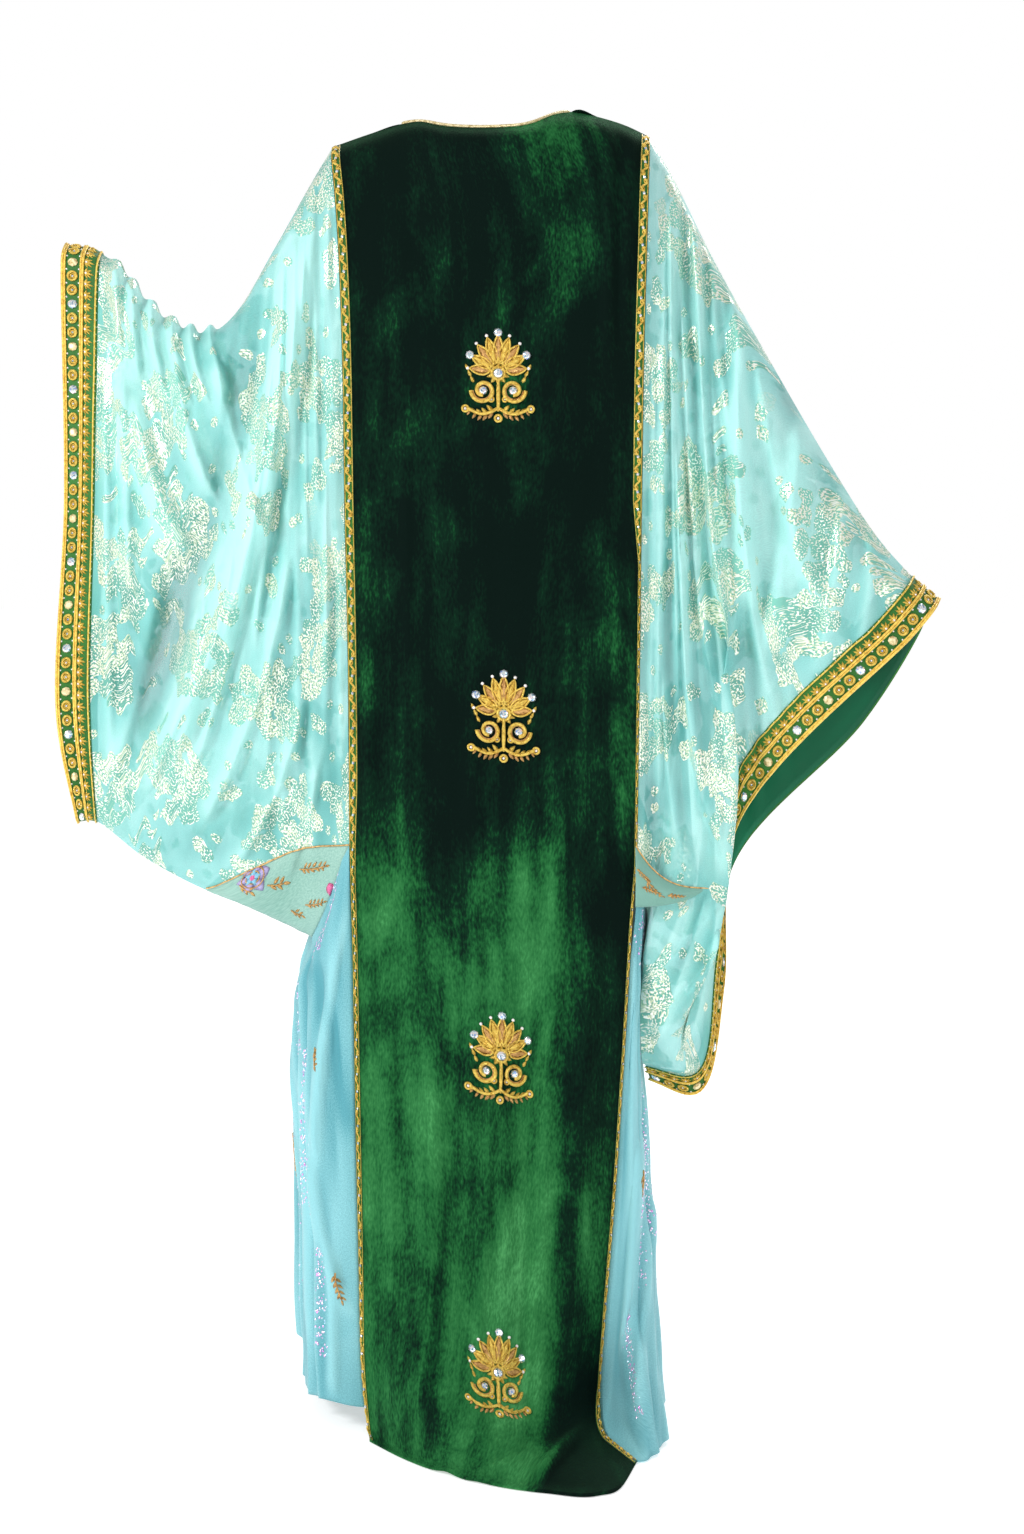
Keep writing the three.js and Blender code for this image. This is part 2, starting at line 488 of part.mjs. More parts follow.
// insets are in mm, one number for a whole edge or a list along it
const insetAt = (inset, k) => (Array.isArray(inset) ? inset[k] : inset) || 0;
function insetGrid(grid, normals, insets) {
  const rows = grid.length;
  const columns = grid[0].length;
  const middle = grid.map((row) => row.map((point) => point.clone()));
  const facing = normals.map((row) => row.map((normal) => normal.clone()));
  const pull = (i, j, i2, j2, amount) => {
    if (!amount) return;
    const step = grid[i2][j2].clone().sub(grid[i][j]);
    const length = step.length();
    if (length < 1e-6) return;
    const share = Math.min(amount / length, 0.45);
    middle[i][j].addScaledVector(step, share);
    facing[i][j].lerp(normals[i2][j2], share).normalize();
  };
  for (let j = 0; j < columns; j++) {
    pull(0, j, 1, j, insetAt(insets.top, j));
    pull(rows - 1, j, rows - 2, j, insetAt(insets.bottom, j));
  }
  for (let i = 0; i < rows; i++) {
    pull(i, 0, i, 1, insetAt(insets.start, i));
    pull(i, columns - 1, i, columns - 2, insetAt(insets.end, i));
  }
  return { middle, facing };
}
// the seam points of a grid's edge, each with the step from it into the cloth
const stepFrom = (point, inner) => ({ point, step: inner.clone().sub(point) });
const stepsIn = {
  top: (g) => g[0].map((point, j) => stepFrom(point, g[1][j])),
  bottom: (g) => g[g.length - 1].map((point, j) => stepFrom(point, g[g.length - 2][j])),
  start: (g) => g.map((row) => stepFrom(row[0], row[1])),
  end: (g) => g.map((row) => stepFrom(row[row.length - 1], row[row.length - 2])),
};
// how far two sheets stand back from a shared seam so that their faces clear each other where they turn
function seamInsets(seamA, seamB, thickest) {
  const most = 4;
  return seamA.map(({ step }, k) => {
    const ahead = seamA[Math.min(k + 1, seamA.length - 1)].point;
    const tangent = ahead.clone().sub(seamA[Math.max(0, k - 1)].point).normalize();
    const across = (v) => v.clone().addScaledVector(tangent, -v.dot(tangent));
    const own = across(step);
    const turn = Math.PI - own.angleTo(across(seamB[Math.min(k, seamB.length - 1)].step));
    const clear = half(SEAM_GAP) / Math.cos(turn / 2) + half(thickest) * Math.tan(turn / 2);
    const slant = Math.max(0.25, own.length() / Math.max(step.length(), 1e-6));
    return Math.min(most, (clear * 1.1 + 0.05) / slant);
  });
}
// a sheet of the given thickness with its middle on the grid; closedRows joins the last row to the first
function wallGeometry(grid, thickness, insets = {}, closedRows = false, offset = 0, givenNormals = null) {
  const normals = givenNormals || gridNormals(grid, closedRows);
  const { middle, facing } = insetGrid(grid, normals, insets);
  const rows = grid.length;
  const columns = grid[0].length;
  const positions = [];
  for (const side of [1, -1]) {
    for (let i = 0; i < rows; i++) {
      for (let j = 0; j < columns; j++) {
        const point = middle[i][j].clone().addScaledVector(facing[i][j], offset + side * half(thickness));
        positions.push(point.x, point.y, point.z);
      }
    }
  }
  const index = [];
  const count = rows * columns;
  const at = (face, i, j) => face * count + (i % rows) * columns + j;
  const lastRow = closedRows ? rows : rows - 1;
  for (let i = 0; i < lastRow; i++) {
    for (let j = 0; j < columns - 1; j++) {
      index.push(at(0, i, j), at(0, i + 1, j), at(0, i, j + 1), at(0, i, j + 1), at(0, i + 1, j), at(0, i + 1, j + 1));
      index.push(at(1, i, j), at(1, i, j + 1), at(1, i + 1, j), at(1, i, j + 1), at(1, i + 1, j + 1), at(1, i + 1, j));
    }
    for (const j of [0, columns - 1]) {
      const quad = [at(0, i, j), at(1, i, j), at(1, i + 1, j), at(0, i, j), at(1, i + 1, j), at(0, i + 1, j)];
      if (j > 0) quad.reverse();
      index.push(...quad);
    }
  }
  if (!closedRows) {
    for (let j = 0; j < columns - 1; j++) {
      for (const i of [0, rows - 1]) {
        const quad = [at(0, i, j), at(0, i, j + 1), at(1, i, j + 1), at(0, i, j), at(1, i, j + 1), at(1, i, j)];
        if (i > 0) quad.reverse();
        index.push(...quad);
      }
    }
  }
  return facingOut(positions, index);
}
// a closed band of round-ish section along a closed loop of points
function ringGeometry(centres, radius, sides) {
  const count = centres.length;
  const positions = [];
  for (let i = 0; i < count; i++) {
    const ahead = centres[(i + 1) % count].clone().sub(centres[(i + count - 1) % count]).normalize();
    const outward = vec(0, 0, 1).cross(ahead).normalize();
    const upward = ahead.clone().cross(outward).normalize();
    for (let k = 0; k < sides; k++) {
      const angle = (2 * Math.PI * k) / sides;
      const point = centres[i].clone();
      point.addScaledVector(outward, radius * Math.cos(angle)).addScaledVector(upward, radius * Math.sin(angle));
      positions.push(point.x, point.y, point.z);
    }
  }
  const index = [];
  for (let i = 0; i < count; i++) {
    const next = (i + 1) % count;
    for (let k = 0; k < sides; k++) {
      const turn = (k + 1) % sides;
      index.push(i * sides + k, next * sides + k, i * sides + turn, i * sides + turn, next * sides + k, next * sides + turn);
    }
  }
  return facingOut(positions, index);
}
function facingOut(positions, index) {
  let volume = 0;
  const corner = (n) => vec(positions[3 * n], positions[3 * n + 1], positions[3 * n + 2]);
  for (let t = 0; t < index.length; t += 3) {
    volume += corner(index[t]).dot(corner(index[t + 1]).cross(corner(index[t + 2])));
  }
  if (volume < 0) index.reverse();
  const geometry = new THREE.BufferGeometry();
  geometry.setAttribute('position', new THREE.Float32BufferAttribute(positions, 3));
  geometry.setIndex(index);
  geometry.computeVertexNormals();
  return geometry;
}

// ---- grids of the pieces ----
const grid = (rows, columns, point) => rows.map((r) => columns.map((c) => point(r, c)));
const range = (count) => Array.from({ length: count + 1 }, (_, i) => i);

const upperRows = range(ROWS_TO_UNDERARM).map(rowFraction);
const lowerRows = range(ROWS_BELOW_UNDERARM).slice(1).map((i) => 1 + i / ROWS_BELOW_UNDERARM);
const panelRows = [...upperRows, ...lowerRows];
// share of the panel's width that the braid takes at one edge, measured on the cloth itself
function braidEdge(pointAt, down, fromStart) {
  const edge = pointAt(fromStart ? 0 : 1, down);
  let near = 0;
  let far = 0.12;
  for (let k = 0; k < 24; k++) {
    const middle = mix(near, far, 0.5);
    const distance = pointAt(fromStart ? middle : 1 - middle, down).distanceTo(edge);
    if (distance < BRAID_WIDTH + 1) near = middle;
    else far = middle;
  }
  return near;
}
// both panels share their columns along the shoulder seams
function panelColumnsAt(pointAt, down) {
  const first = braidEdge(pointAt, down, true);
  const last = 1 - braidEdge(pointAt, down, false);
  const neckSpan = range(NECK_COLUMNS).map((k) => mix(NECK_START, NECK_END, k / NECK_COLUMNS));
  return [0, first, mix(first, NECK_START, 0.5), ...neckSpan, mix(NECK_END, last, 0.5), last, 1];
}
const FIRST_NECK_COLUMN = 3;
const LAST_NECK_COLUMN = FIRST_NECK_COLUMN + NECK_COLUMNS;
const panelGrid = (pointAt) => panelRows.map((down) => panelColumnsAt(pointAt, down).map((across) => pointAt(across, down)));
const backGrid = panelGrid(backPanelPoint);
const frontGrid = panelGrid(frontPanelPoint);

const sideRows = [0, ...lowerRows.map((down) => down - 1)];
const sideGrid = (side) => grid(sideRows.slice(0, side.lastRow + 1), range(GUSSET_COLUMNS).map((k) => k / GUSSET_COLUMNS),
  (down, around) => (down === 0 ? underarmPoint(side, around) : sidePoint(side, around, down)));

function sleeveGrid(sleeve, isBack) {
  const { columns } = sleeveColumns(sleeve);
  return range(ROWS_TO_UNDERARM).map((i) => columns.map((along) =>
    sleevePoint(sleeve, isBack, along, rowFraction(i) * gussetEdge(sleeve, isBack, along))));
}
function gussetGrid(sleeve) {
  const { columns, tip } = sleeveColumns(sleeve);
  const halfCount = GUSSET_COLUMNS / 2;
  return columns.slice(0, tip + 1).map((along) => range(GUSSET_COLUMNS).map((k) => {
    const isBack = k <= halfCount;
    const share = isBack ? k / halfCount : (GUSSET_COLUMNS - k) / halfCount;
    return sleevePoint(sleeve, isBack, along, mix(gussetEdge(sleeve, isBack, along), 1, share));
  }));
}
function cuffGrid(sleeve) {
  const places = [sleeve.cuffStart, mix(sleeve.cuffStart, 1, 0.5), 1];
  const around = [];
  for (let i = ROWS_TO_UNDERARM; i > 0; i--) around.push([true, rowFraction(i)]);
  for (let i = 0; i < ROWS_TO_UNDERARM; i++) around.push([false, rowFraction(i)]);
  return around.map(([isBack, fraction]) => places.map((along) => sleevePoint(sleeve, isBack, along, fraction)));
}
// the sleeve widens towards its mouth, so a share of its length is shorter on the cloth near the cuff
const FACING_OVERLAP = 1.7;
// the facing lines the front half of the mouth, just inside the cuff band
function facingGrid(sleeve) {
  const rows = range(ROWS_TO_UNDERARM).slice(2, ROWS_TO_UNDERARM - 2);
  const cuffShare = 1 - sleeve.cuffStart;
  const inner = sleeve.cuffStart - FACING_OVERLAP * cuffShare * (FACING_WIDTH / CUFF_WIDTH - 1);
  const outer = 0.995;
  const places = [inner, mix(inner, sleeve.cuffStart, 0.5), sleeve.cuffStart, mix(sleeve.cuffStart, outer, 0.5), outer];
  return rows.map((i) => places.map((along) => sleevePoint(sleeve, false, along, rowFraction(i))));
}
// braid strip between the edge and the first inner column of the back panel
const braidPlaces = [0.13, 0.96];
function stripOf(rows, fromStart) {
  const from = (row) => (fromStart ? row[0] : row[row.length - 1]);
  const inner = (row) => (fromStart ? row[1] : row[row.length - 2]);
  const places = fromStart ? braidPlaces : [...braidPlaces].reverse();
  return rows.map((row) => places.map((t) => mixPoint(from(row), inner(row), t)));
}
// the binding rests on the panels' neck edges, a little above them
function neckCentres() {
  const lift = BINDING_RADIUS + SEAM_GAP + 1.3;
  const back = range(NECK_COLUMNS).map((k) => [backGrid, k + FIRST_NECK_COLUMN]);
  const front = range(NECK_COLUMNS).slice(1, -1).reverse().map((k) => [frontGrid, k + FIRST_NECK_COLUMN]);
  const around = [...back, ...front];
  const edges = around.map(([panel, k]) => panel[0][k]);
  return around.map(([panel, k], n) => {
    const count = edges.length;
    const ahead = edges[(n + 1) % count].clone().sub(edges[n]);
    const behind = edges[n].clone().sub(edges[(n + count - 1) % count]);
    const corner = Math.cos(Math.min(1.2, ahead.angleTo(behind) / 2));
    const tangent = ahead.add(behind).normalize();
    const away = edges[n].clone().sub(panel[1][k]);
    if (k === FIRST_NECK_COLUMN || k === LAST_NECK_COLUMN) away.add(edges[n]).sub(frontGrid[1][k]);
    away.addScaledVector(tangent, -away.dot(tangent)).normalize();
    return edges[n].clone().addScaledVector(away, lift / corner);
  });
}

// ---- assembly ----
const MATERIALS = {
  velvet: { color: 0x154a24, roughness: 0.9, metalness: 0 },
  sheer: { color: 0x8fe0d8, roughness: 0.6, metalness: 0.1 },
  turquoise: { color: 0x7cc8cf, roughness: 0.6, metalness: 0 },
  gusset: { color: 0x9ccfae, roughness: 0.65, metalness: 0 },
  cuff: { color: 0x2f6b2f, roughness: 0.6, metalness: 0.2 },
  facing: { color: 0x0e6b42, roughness: 0.45, metalness: 0 },
  gold: { color: 0xd9a520, roughness: 0.4, metalness: 0.7 },
};
const dress = new THREE.Group();
dress.name = 'nashal_dress';
function add(name, geometry, look) {
  const mesh = new THREE.Mesh(geometry, new THREE.MeshStandardMaterial(MATERIALS[look]));
  mesh.name = name;
  dress.add(mesh);
}

const SURFACES = {};
for (const [name, sleeve] of Object.entries(SLEEVES)) {
  SURFACES[name] = {
    back: sleeveGrid(sleeve, true), front: sleeveGrid(sleeve, false), gusset: gussetGrid(sleeve),
    cuff: cuffGrid(sleeve), side: sideGrid(sleeve.side), tip: sleeveColumns(sleeve).tip,
  };
}
// a panel's side edge meets a sleeve down to the underarm and a side panel below it
function panelEdgeInsets(steps, sleeve, side, sideEdge) {
  const upper = seamInsets(steps.slice(0, ROWS_TO_UNDERARM), stepsIn.start(sleeve), VELVET_THICK);
  const lower = seamInsets(steps.slice(ROWS_TO_UNDERARM), stepsIn[sideEdge](side), VELVET_THICK);
  return [...upper, ...lower];
}
const shoulderInsets = seamInsets(stepsIn.top(backGrid), stepsIn.top(frontGrid), VELVET_THICK)
  .map((inset, k) => (k > FIRST_NECK_COLUMN && k < LAST_NECK_COLUMN ? 0 : inset + 0.1));
const { left, right } = SURFACES;
// more than a row's height: the gusset's last row is drawn back by the largest share allowed
const TIP_TRIM = 99;
// pieces that meet at a corner of three stand back further, as if their neighbour were this many times as thick
const AT_GUSSET_BACK = 3;
const AT_GUSSET_SEAM = 3.4;
const AT_CUFF = 2;
add('back_panel', wallGeometry(backGrid, VELVET_THICK, {
  top: shoulderInsets,
  start: panelEdgeInsets(stepsIn.start(backGrid), left.back, left.side, 'start'),
  end: panelEdgeInsets(stepsIn.end(backGrid), right.back, right.side, 'start'),
}), 'velvet');
// the front neck edge stands back a little more where it turns steeply down from the shoulders
const besideCorner = [FIRST_NECK_COLUMN, FIRST_NECK_COLUMN + 1, LAST_NECK_COLUMN - 1, LAST_NECK_COLUMN];
const frontTopInsets = shoulderInsets.map((inset, k) => (besideCorner.includes(k) ? Math.max(inset, 2.2) : inset));
add('front_panel', wallGeometry(frontGrid, VELVET_THICK, {
  top: frontTopInsets,
  start: panelEdgeInsets(stepsIn.start(frontGrid), left.front, left.side, 'end'),
  end: panelEdgeInsets(stepsIn.end(frontGrid), right.front, right.side, 'end'),
}), 'velvet');
for (const [name, piece] of Object.entries(SURFACES)) {
  const panelSteps = name === 'left' ? stepsIn.start : stepsIn.end;
  const cuffBack = stepsIn.start(piece.cuff).slice(0, ROWS_TO_UNDERARM + 1).reverse();
  const cuffFront = stepsIn.start(piece.cuff).slice(ROWS_TO_UNDERARM);
  cuffFront.push(stepsIn.start(piece.cuff)[0]);
  const bottomOf = (mine, other, gussetEdgeSteps) => {
    const steps = stepsIn.bottom(mine);
    const joined = seamInsets(steps, stepsIn.bottom(other), SHEER_THICK);
    const withGusset = seamInsets(steps.slice(0, piece.tip + 1), gussetEdgeSteps, SHEER_THICK * AT_GUSSET_SEAM);
    return joined.map((inset, k) => (k <= piece.tip ? withGusset[k] : inset));
  };
  const gussetBack = stepsIn.start(piece.gusset);
  const gussetFront = stepsIn.end(piece.gusset);
  const halves = [
    ['back', piece.back, piece.front, backGrid, gussetBack, cuffBack],
    ['front', piece.front, piece.back, frontGrid, gussetFront, cuffFront],
  ];
  for (const [label, mine, other, panel, gussetSteps, cuffSteps] of halves) {
    add(`sleeve_${name}_${label}`, wallGeometry(mine, SHEER_THICK, {
      top: seamInsets(stepsIn.top(mine), stepsIn.top(other), SHEER_THICK),
      bottom: bottomOf(mine, other, gussetSteps),
      start: seamInsets(stepsIn.start(mine), panelSteps(panel), VELVET_THICK),
      end: seamInsets(stepsIn.end(mine), cuffSteps, CUFF_THICK * AT_CUFF),
    }), 'sheer');
  }
  add(`gusset_${name}`, wallGeometry(piece.gusset, SHEER_THICK, {
    top: seamInsets(stepsIn.top(piece.gusset), stepsIn.top(piece.side), SHEER_THICK),
    start: seamInsets(gussetBack, stepsIn.bottom(piece.back), SHEER_THICK * AT_GUSSET_BACK),
    end: seamInsets(gussetFront, stepsIn.bottom(piece.front), SHEER_THICK),
    bottom: TIP_TRIM,
  }), 'gusset');
  const cuffStarts = [
    ...seamInsets(cuffBack, stepsIn.end(piece.back), CUFF_THICK).reverse(),
    ...seamInsets(cuffFront, stepsIn.end(piece.front), CUFF_THICK).slice(1, -1),
  ];
  add(`cuff_${name}`, wallGeometry(piece.cuff, CUFF_THICK, { start: cuffStarts }, true), 'cuff');
  const below = (steps) => steps.slice(ROWS_TO_UNDERARM);
  add(`side_${name}`, wallGeometry(piece.side, SHEER_THICK, {
    top: seamInsets(stepsIn.top(piece.side), stepsIn.top(piece.gusset), SHEER_THICK),
    start: seamInsets(stepsIn.start(piece.side), below(panelSteps(backGrid)), VELVET_THICK),
    end: seamInsets(stepsIn.end(piece.side), below(panelSteps(frontGrid)), VELVET_THICK),
  }), 'turquoise');
}
const facingClear = half(CUFF_THICK) + 2 * SEAM_GAP + half(SATIN_THICK);
add('facing_right', wallGeometry(facingGrid(SLEEVES.right), SATIN_THICK, {}, false, -facingClear), 'facing');
const braidClear = half(VELVET_THICK) + SEAM_GAP + half(BRAID_THICK);
const backNormals = gridNormals(backGrid, false);
const braid = (fromStart) => wallGeometry(stripOf(backGrid, fromStart), BRAID_THICK, { top: 1 }, false,
  -braidClear, stripOf(backNormals, fromStart));
add('trim_left', braid(true), 'gold');
add('trim_right', braid(false), 'gold');
add('neck_binding', ringGeometry(neckCentres(), BINDING_RADIUS, 6), 'gold');

export default dress;
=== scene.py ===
import math

import bpy
import numpy as np
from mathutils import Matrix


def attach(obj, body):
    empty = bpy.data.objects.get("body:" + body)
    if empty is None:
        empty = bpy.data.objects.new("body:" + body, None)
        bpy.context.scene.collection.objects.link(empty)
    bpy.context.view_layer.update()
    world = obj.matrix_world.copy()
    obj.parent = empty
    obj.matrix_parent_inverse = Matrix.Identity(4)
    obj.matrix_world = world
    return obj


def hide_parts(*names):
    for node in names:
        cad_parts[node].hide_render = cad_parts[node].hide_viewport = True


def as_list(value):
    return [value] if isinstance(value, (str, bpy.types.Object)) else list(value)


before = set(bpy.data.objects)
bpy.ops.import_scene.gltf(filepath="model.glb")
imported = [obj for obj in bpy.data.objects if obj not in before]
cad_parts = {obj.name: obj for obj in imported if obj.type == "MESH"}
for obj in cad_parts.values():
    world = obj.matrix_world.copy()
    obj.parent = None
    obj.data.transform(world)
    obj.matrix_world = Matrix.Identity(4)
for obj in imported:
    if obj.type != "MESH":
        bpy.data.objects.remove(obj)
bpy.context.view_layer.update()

# Nashal dress. Shapes are worked out in millimetres, in the model's frame: +Z up,
# front towards -Y, wearer's left towards +X. A mesh is scaled to metres when it is made.
MM = 0.001
FLOOR_Z = -1391.0
VELVET_THICK = 1.9
CUFF_THICK = 2.3
CREPE_THICK = 0.9
SATIN_THICK = 1.1
# where the left side panel's hem meets the velvet edges, as a share of the way from underarm to hem
LAST_SIDE_PLACE = 13 / 14
# how far ahead of the back edge the front edge is read at the same place down
FRONT_AHEAD = 1.04
# the neck opening, as shares of the panels' width
NECK_START, NECK_END = 0.21, 0.758


def mix(a, b, t):
    return a + (b - a) * t


def smooth(t):
    k = np.clip(t, 0, 1)
    return k * k * (3 - 2 * k)


def within(t, rate):
    """0 at both ends of the way from 0 to 1, and 1 between them."""
    return smooth(t * rate) * smooth((1 - t) * rate)


def bell(t):
    return np.exp(-t * t)


def unit(vectors):
    return vectors / np.maximum(np.linalg.norm(vectors, axis=-1, keepdims=True), 1e-9)


def lengths_along(path):
    return np.r_[0, np.cumsum(np.linalg.norm(np.diff(path, axis=0), axis=1))]


def hermite(a, b, slope_a, slope_b, t):
    t2, t3 = t * t, t * t * t
    return ((2 * t3 - 3 * t2 + 1) * a + (t3 - 2 * t2 + t) * slope_a
            + (3 * t2 - 2 * t3) * b + (t3 - t2) * slope_b)


def table(columns, rows):
    return {name: np.array(values, float) for name, values in zip(columns.split(), zip(*rows))}


def look_up(rows, key, place, column):
    """A named column of a table at a place between its rows, without kinks."""
    x, y = rows[key], rows[column]
    slope = np.gradient(y, x)
    k = np.clip(np.searchsorted(x, place) - 1, 0, len(x) - 2)
    span = x[k + 1] - x[k]
    t = np.clip((place - x[k]) / span, 0, 1)
    return hermite(y[k], y[k + 1], slope[k] * span, slope[k + 1] * span, t)


class Curve:
    """A smooth curve through points, read by fraction of its length."""

    def __init__(self, points):
        p = np.array(points, float)
        ends = np.vstack([2 * p[0] - p[1], p, 2 * p[-1] - p[-2]])
        t = np.linspace(0, 1, 60, endpoint=False)[:, None]
        parts = []
        for p0, p1, p2, p3 in zip(ends, ends[1:], ends[2:], ends[3:]):
            d0, d1, d2 = (max(np.linalg.norm(b - a), 1e-4) ** 0.5
                          for a, b in ((p0, p1), (p1, p2), (p2, p3)))
            slope1 = ((p1 - p0) / d0 - (p2 - p0) / (d0 + d1) + (p2 - p1) / d1) * d1
            slope2 = ((p2 - p1) / d1 - (p3 - p1) / (d1 + d2) + (p3 - p2) / d2) * d1
            parts.append(hermite(p1, p2, slope1, slope2, t))
        self.points = np.vstack([*parts, p[-1:]])
        lengths = lengths_along(self.points)
        self.total = lengths[-1]
        self.lengths = lengths / self.total

    def at(self, fraction):
        f = np.clip(fraction, 0, 1)
        return np.stack([np.interp(f, self.lengths, self.points[:, k]) for k in range(3)], -1)


# ---- velvet panel edges: shoulder to underarm, then underarm to hem ----
class Edge:
    """One long edge of a velvet panel; down is 0 at the shoulder, 1 at the underarm and 2 at the hem."""

    def __init__(self, upper, lower, is_front):
        self.upper, self.lower, self.is_front = Curve(upper), Curve(lower), is_front

    def at(self, down):
        down = np.asarray(down, float)
        low = down - 1
        if self.is_front:
            past = (low - LAST_SIDE_PLACE) / (1 - LAST_SIDE_PLACE)
            ahead = mix(LAST_SIDE_PLACE * FRONT_AHEAD, 1, past)
            low = np.where(low <= LAST_SIDE_PLACE, low * FRONT_AHEAD, ahead)
        return np.where((down <= 1)[..., None], self.upper.at(down), self.lower.at(low))


BACK_LEFT = Edge(
    [(181, 0, 4), (180, 40, -12), (175, 68, -55), (171, 81, -111),
     (167, 91, -219), (165, 96, -380), (162, 100, -560), (161, 108, -756)],
    [(161, 108, -756), (158, 113, -870), (154, 130, -1088), (150, 155, -1220),
     (146, 180, -1320), (140, 196, -1376), (138, 206, -1388.5), (137, 222, -1390)], False)
BACK_RIGHT = Edge(
    [(-168, 0, 15), (-167, 40, -2), (-165, 68, -48), (-163, 81, -111),
     (-160, 91, -219), (-158, 96, -380), (-156, 99, -597), (-154, 107, -781)],
    [(-154, 107, -781), (-149, 110, -840), (-141, 114, -980), (-130, 122, -1145),
     (-118, 138, -1285), (-112, 158, -1365), (-116, 195, -1388.5), (-149, 292, -1390)], False)
FRONT_LEFT = Edge(
    [(181, 0, 4), (178, -38, -11), (172, -68, -52), (165, -87, -111),
     (157, -101, -219), (155, -105, -380), (155, -107, -520), (155, -109, -672)],
    [(155, -109, -672), (153, -113, -860), (152, -122, -1080), (150, -132, -1290),
     (150, -137, -1384)], True)
FRONT_RIGHT = Edge(
    [(-168, 0, 15), (-166, -38, 0), (-162, -68, -45), (-158, -87, -111),
     (-153, -101, -219), (-152, -105, -380), (-152, -107, -530), (-152, -109, -700)],
    [(-152, -109, -700), (-152, -113, -860), (-153, -122, -1080), (-155, -132, -1290),
     (-156, -137, -1384)], True)

# shoulder line and neckline, as height and depth above the straight line between shoulder points
SHOULDER_BACK = table("across y z", [
    (0, 0, 0), (0.12, 2, 13), (0.22, 8, 22), (0.275, 17, 24), (0.345, 35, 17), (0.435, 45, 13),
    (0.53, 48, 12), (0.63, 45, 15), (0.7, 27, 26), (0.755, 12, 29), (0.84, 4, 23), (0.94, 0, 11), (1, 0, 0)])
SHOULDER_FRONT = table("across y z", [
    (0, 0, 0), (0.12, 2, 13), (0.22, 8, 22), (0.275, 6, 21), (0.33, -24, 0), (0.41, -56, -34),
    (0.51, -68, -50), (0.615, -54, -32), (0.7, -18, 6), (0.755, 12, 29), (0.84, 4, 23), (0.94, 0, 11),
    (1, 0, 0)])
# how far the middle of each panel stands out past its edges
BACK_BULGE = table("down out", [
    (0, 0), (0.12, 10), (0.4, 14), (1, 16), (1.4, 26), (1.7, 50), (1.86, 84), (1.94, 106), (2, 122)])
FRONT_BULGE = table("down out", [(0, 0), (0.12, 16), (0.35, 26), (1, 24), (2, 28)])
TRAIN_SHAPE = table("across share", [
    (0, 0), (0.12, 0.36), (0.31, 0.75), (0.5, 0.94), (0.66, 1), (0.85, 0.95), (0.93, 0.72), (1, 0)])
# upright folds: place and width across, start and end down, height in mm, and how far across they lean
PANEL_FOLD = "across width start end height lean"
BACK_FOLDS = table(PANEL_FOLD, [
    (0.07, 0.025, 0.55, 1.3, 5, -0.01), (0.87, 0.018, 0.02, 0.3, 6, 0.01),
    (0.945, 0.014, 0.02, 0.26, 5, -0.01), (0.3, 0.07, 1.2, 1.95, 9, -0.06),
    (0.62, 0.06, 1.1, 1.95, -8, 0.07), (0.84, 0.05, 1.0, 1.9, 7, 0.03),
    (0.815, 0.012, 0.02, 0.2, 2.6, 0.02), (0.2, 0.02, 0.3, 1.1, 2.2, 0.02),
    (0.42, 0.03, 0.5, 1.5, 2.4, 0.03), (0.74, 0.02, 0.7, 1.6, 2.6, -0.03),
    (0.52, 0.025, 1.25, 1.95, 4, -0.04), (0.12, 0.03, 1.2, 1.9, 4, 0.03)])
FRONT_FOLDS = table(PANEL_FOLD, [
    (0.22, 0.05, 0.6, 2, 7, -0.05), (0.55, 0.06, 0.9, 2, -7, 0.04), (0.8, 0.05, 0.7, 2, 6, 0.05),
    (0.35, 0.025, 0.3, 1.4, 2.5, 0.03), (0.68, 0.03, 0.4, 1.7, 3, -0.03)])


def panel_fold(folds, across, down):
    out = np.zeros(np.shape(across))
    for centre, width, start, end, height, lean in zip(*folds.values()):
        along = (down - start) / (end - start)
        inside = (along > 0) & (down <= end + 0.1)
        strength = smooth(along * 4) * smooth((1.25 - along) * 3)
        out += inside * height * strength * bell((across - centre - lean * along) / width)
    return out * within(across, 25)


def back_panel_point(across, down):
    point = mix(BACK_LEFT.at(down), BACK_RIGHT.at(down), across[..., None])
    rounded = 1 - (2 * across - 1) ** 2
    shape = mix(rounded, look_up(TRAIN_SHAPE, "across", across, "share"), smooth((down - 1.75) / 0.25))
    neck = 1 - smooth(down / 0.2)
    point[..., 1] += look_up(BACK_BULGE, "down", down, "out") * shape
    point[..., 1] += look_up(SHOULDER_BACK, "across", across, "y") * neck
    point[..., 1] += panel_fold(BACK_FOLDS, across, down) * smooth((1.93 - down) / 0.1)
    point[..., 2] += look_up(SHOULDER_BACK, "across", across, "z") * neck
    point[..., 2] = np.maximum(point[..., 2], FLOOR_Z + VELVET_THICK / 2)
    return point


def front_panel_point(across, down):
    point = mix(FRONT_LEFT.at(down), FRONT_RIGHT.at(down), across[..., None])
    neck = 1 - smooth(down / 0.3)
    point[..., 1] -= look_up(FRONT_BULGE, "down", down, "out") * (1 - (2 * across - 1) ** 2)
    point[..., 1] += look_up(SHOULDER_FRONT, "across", across, "y") * neck
    point[..., 1] -= panel_fold(FRONT_FOLDS, across, down)
    point[..., 2] += look_up(SHOULDER_FRONT, "across", across, "z") * neck
    return point


# ---- side panels: underarm seam to hem ----
# how many soft ripples of two sizes go round a side panel, and their height in mm
BROAD_RIPPLES, NARROW_RIPPLES, RIPPLE_HEIGHT = 9.5, 17, 2.3
# below 1 the panel fills out quickly beside its seams
SIDE_FULLNESS = 0.75


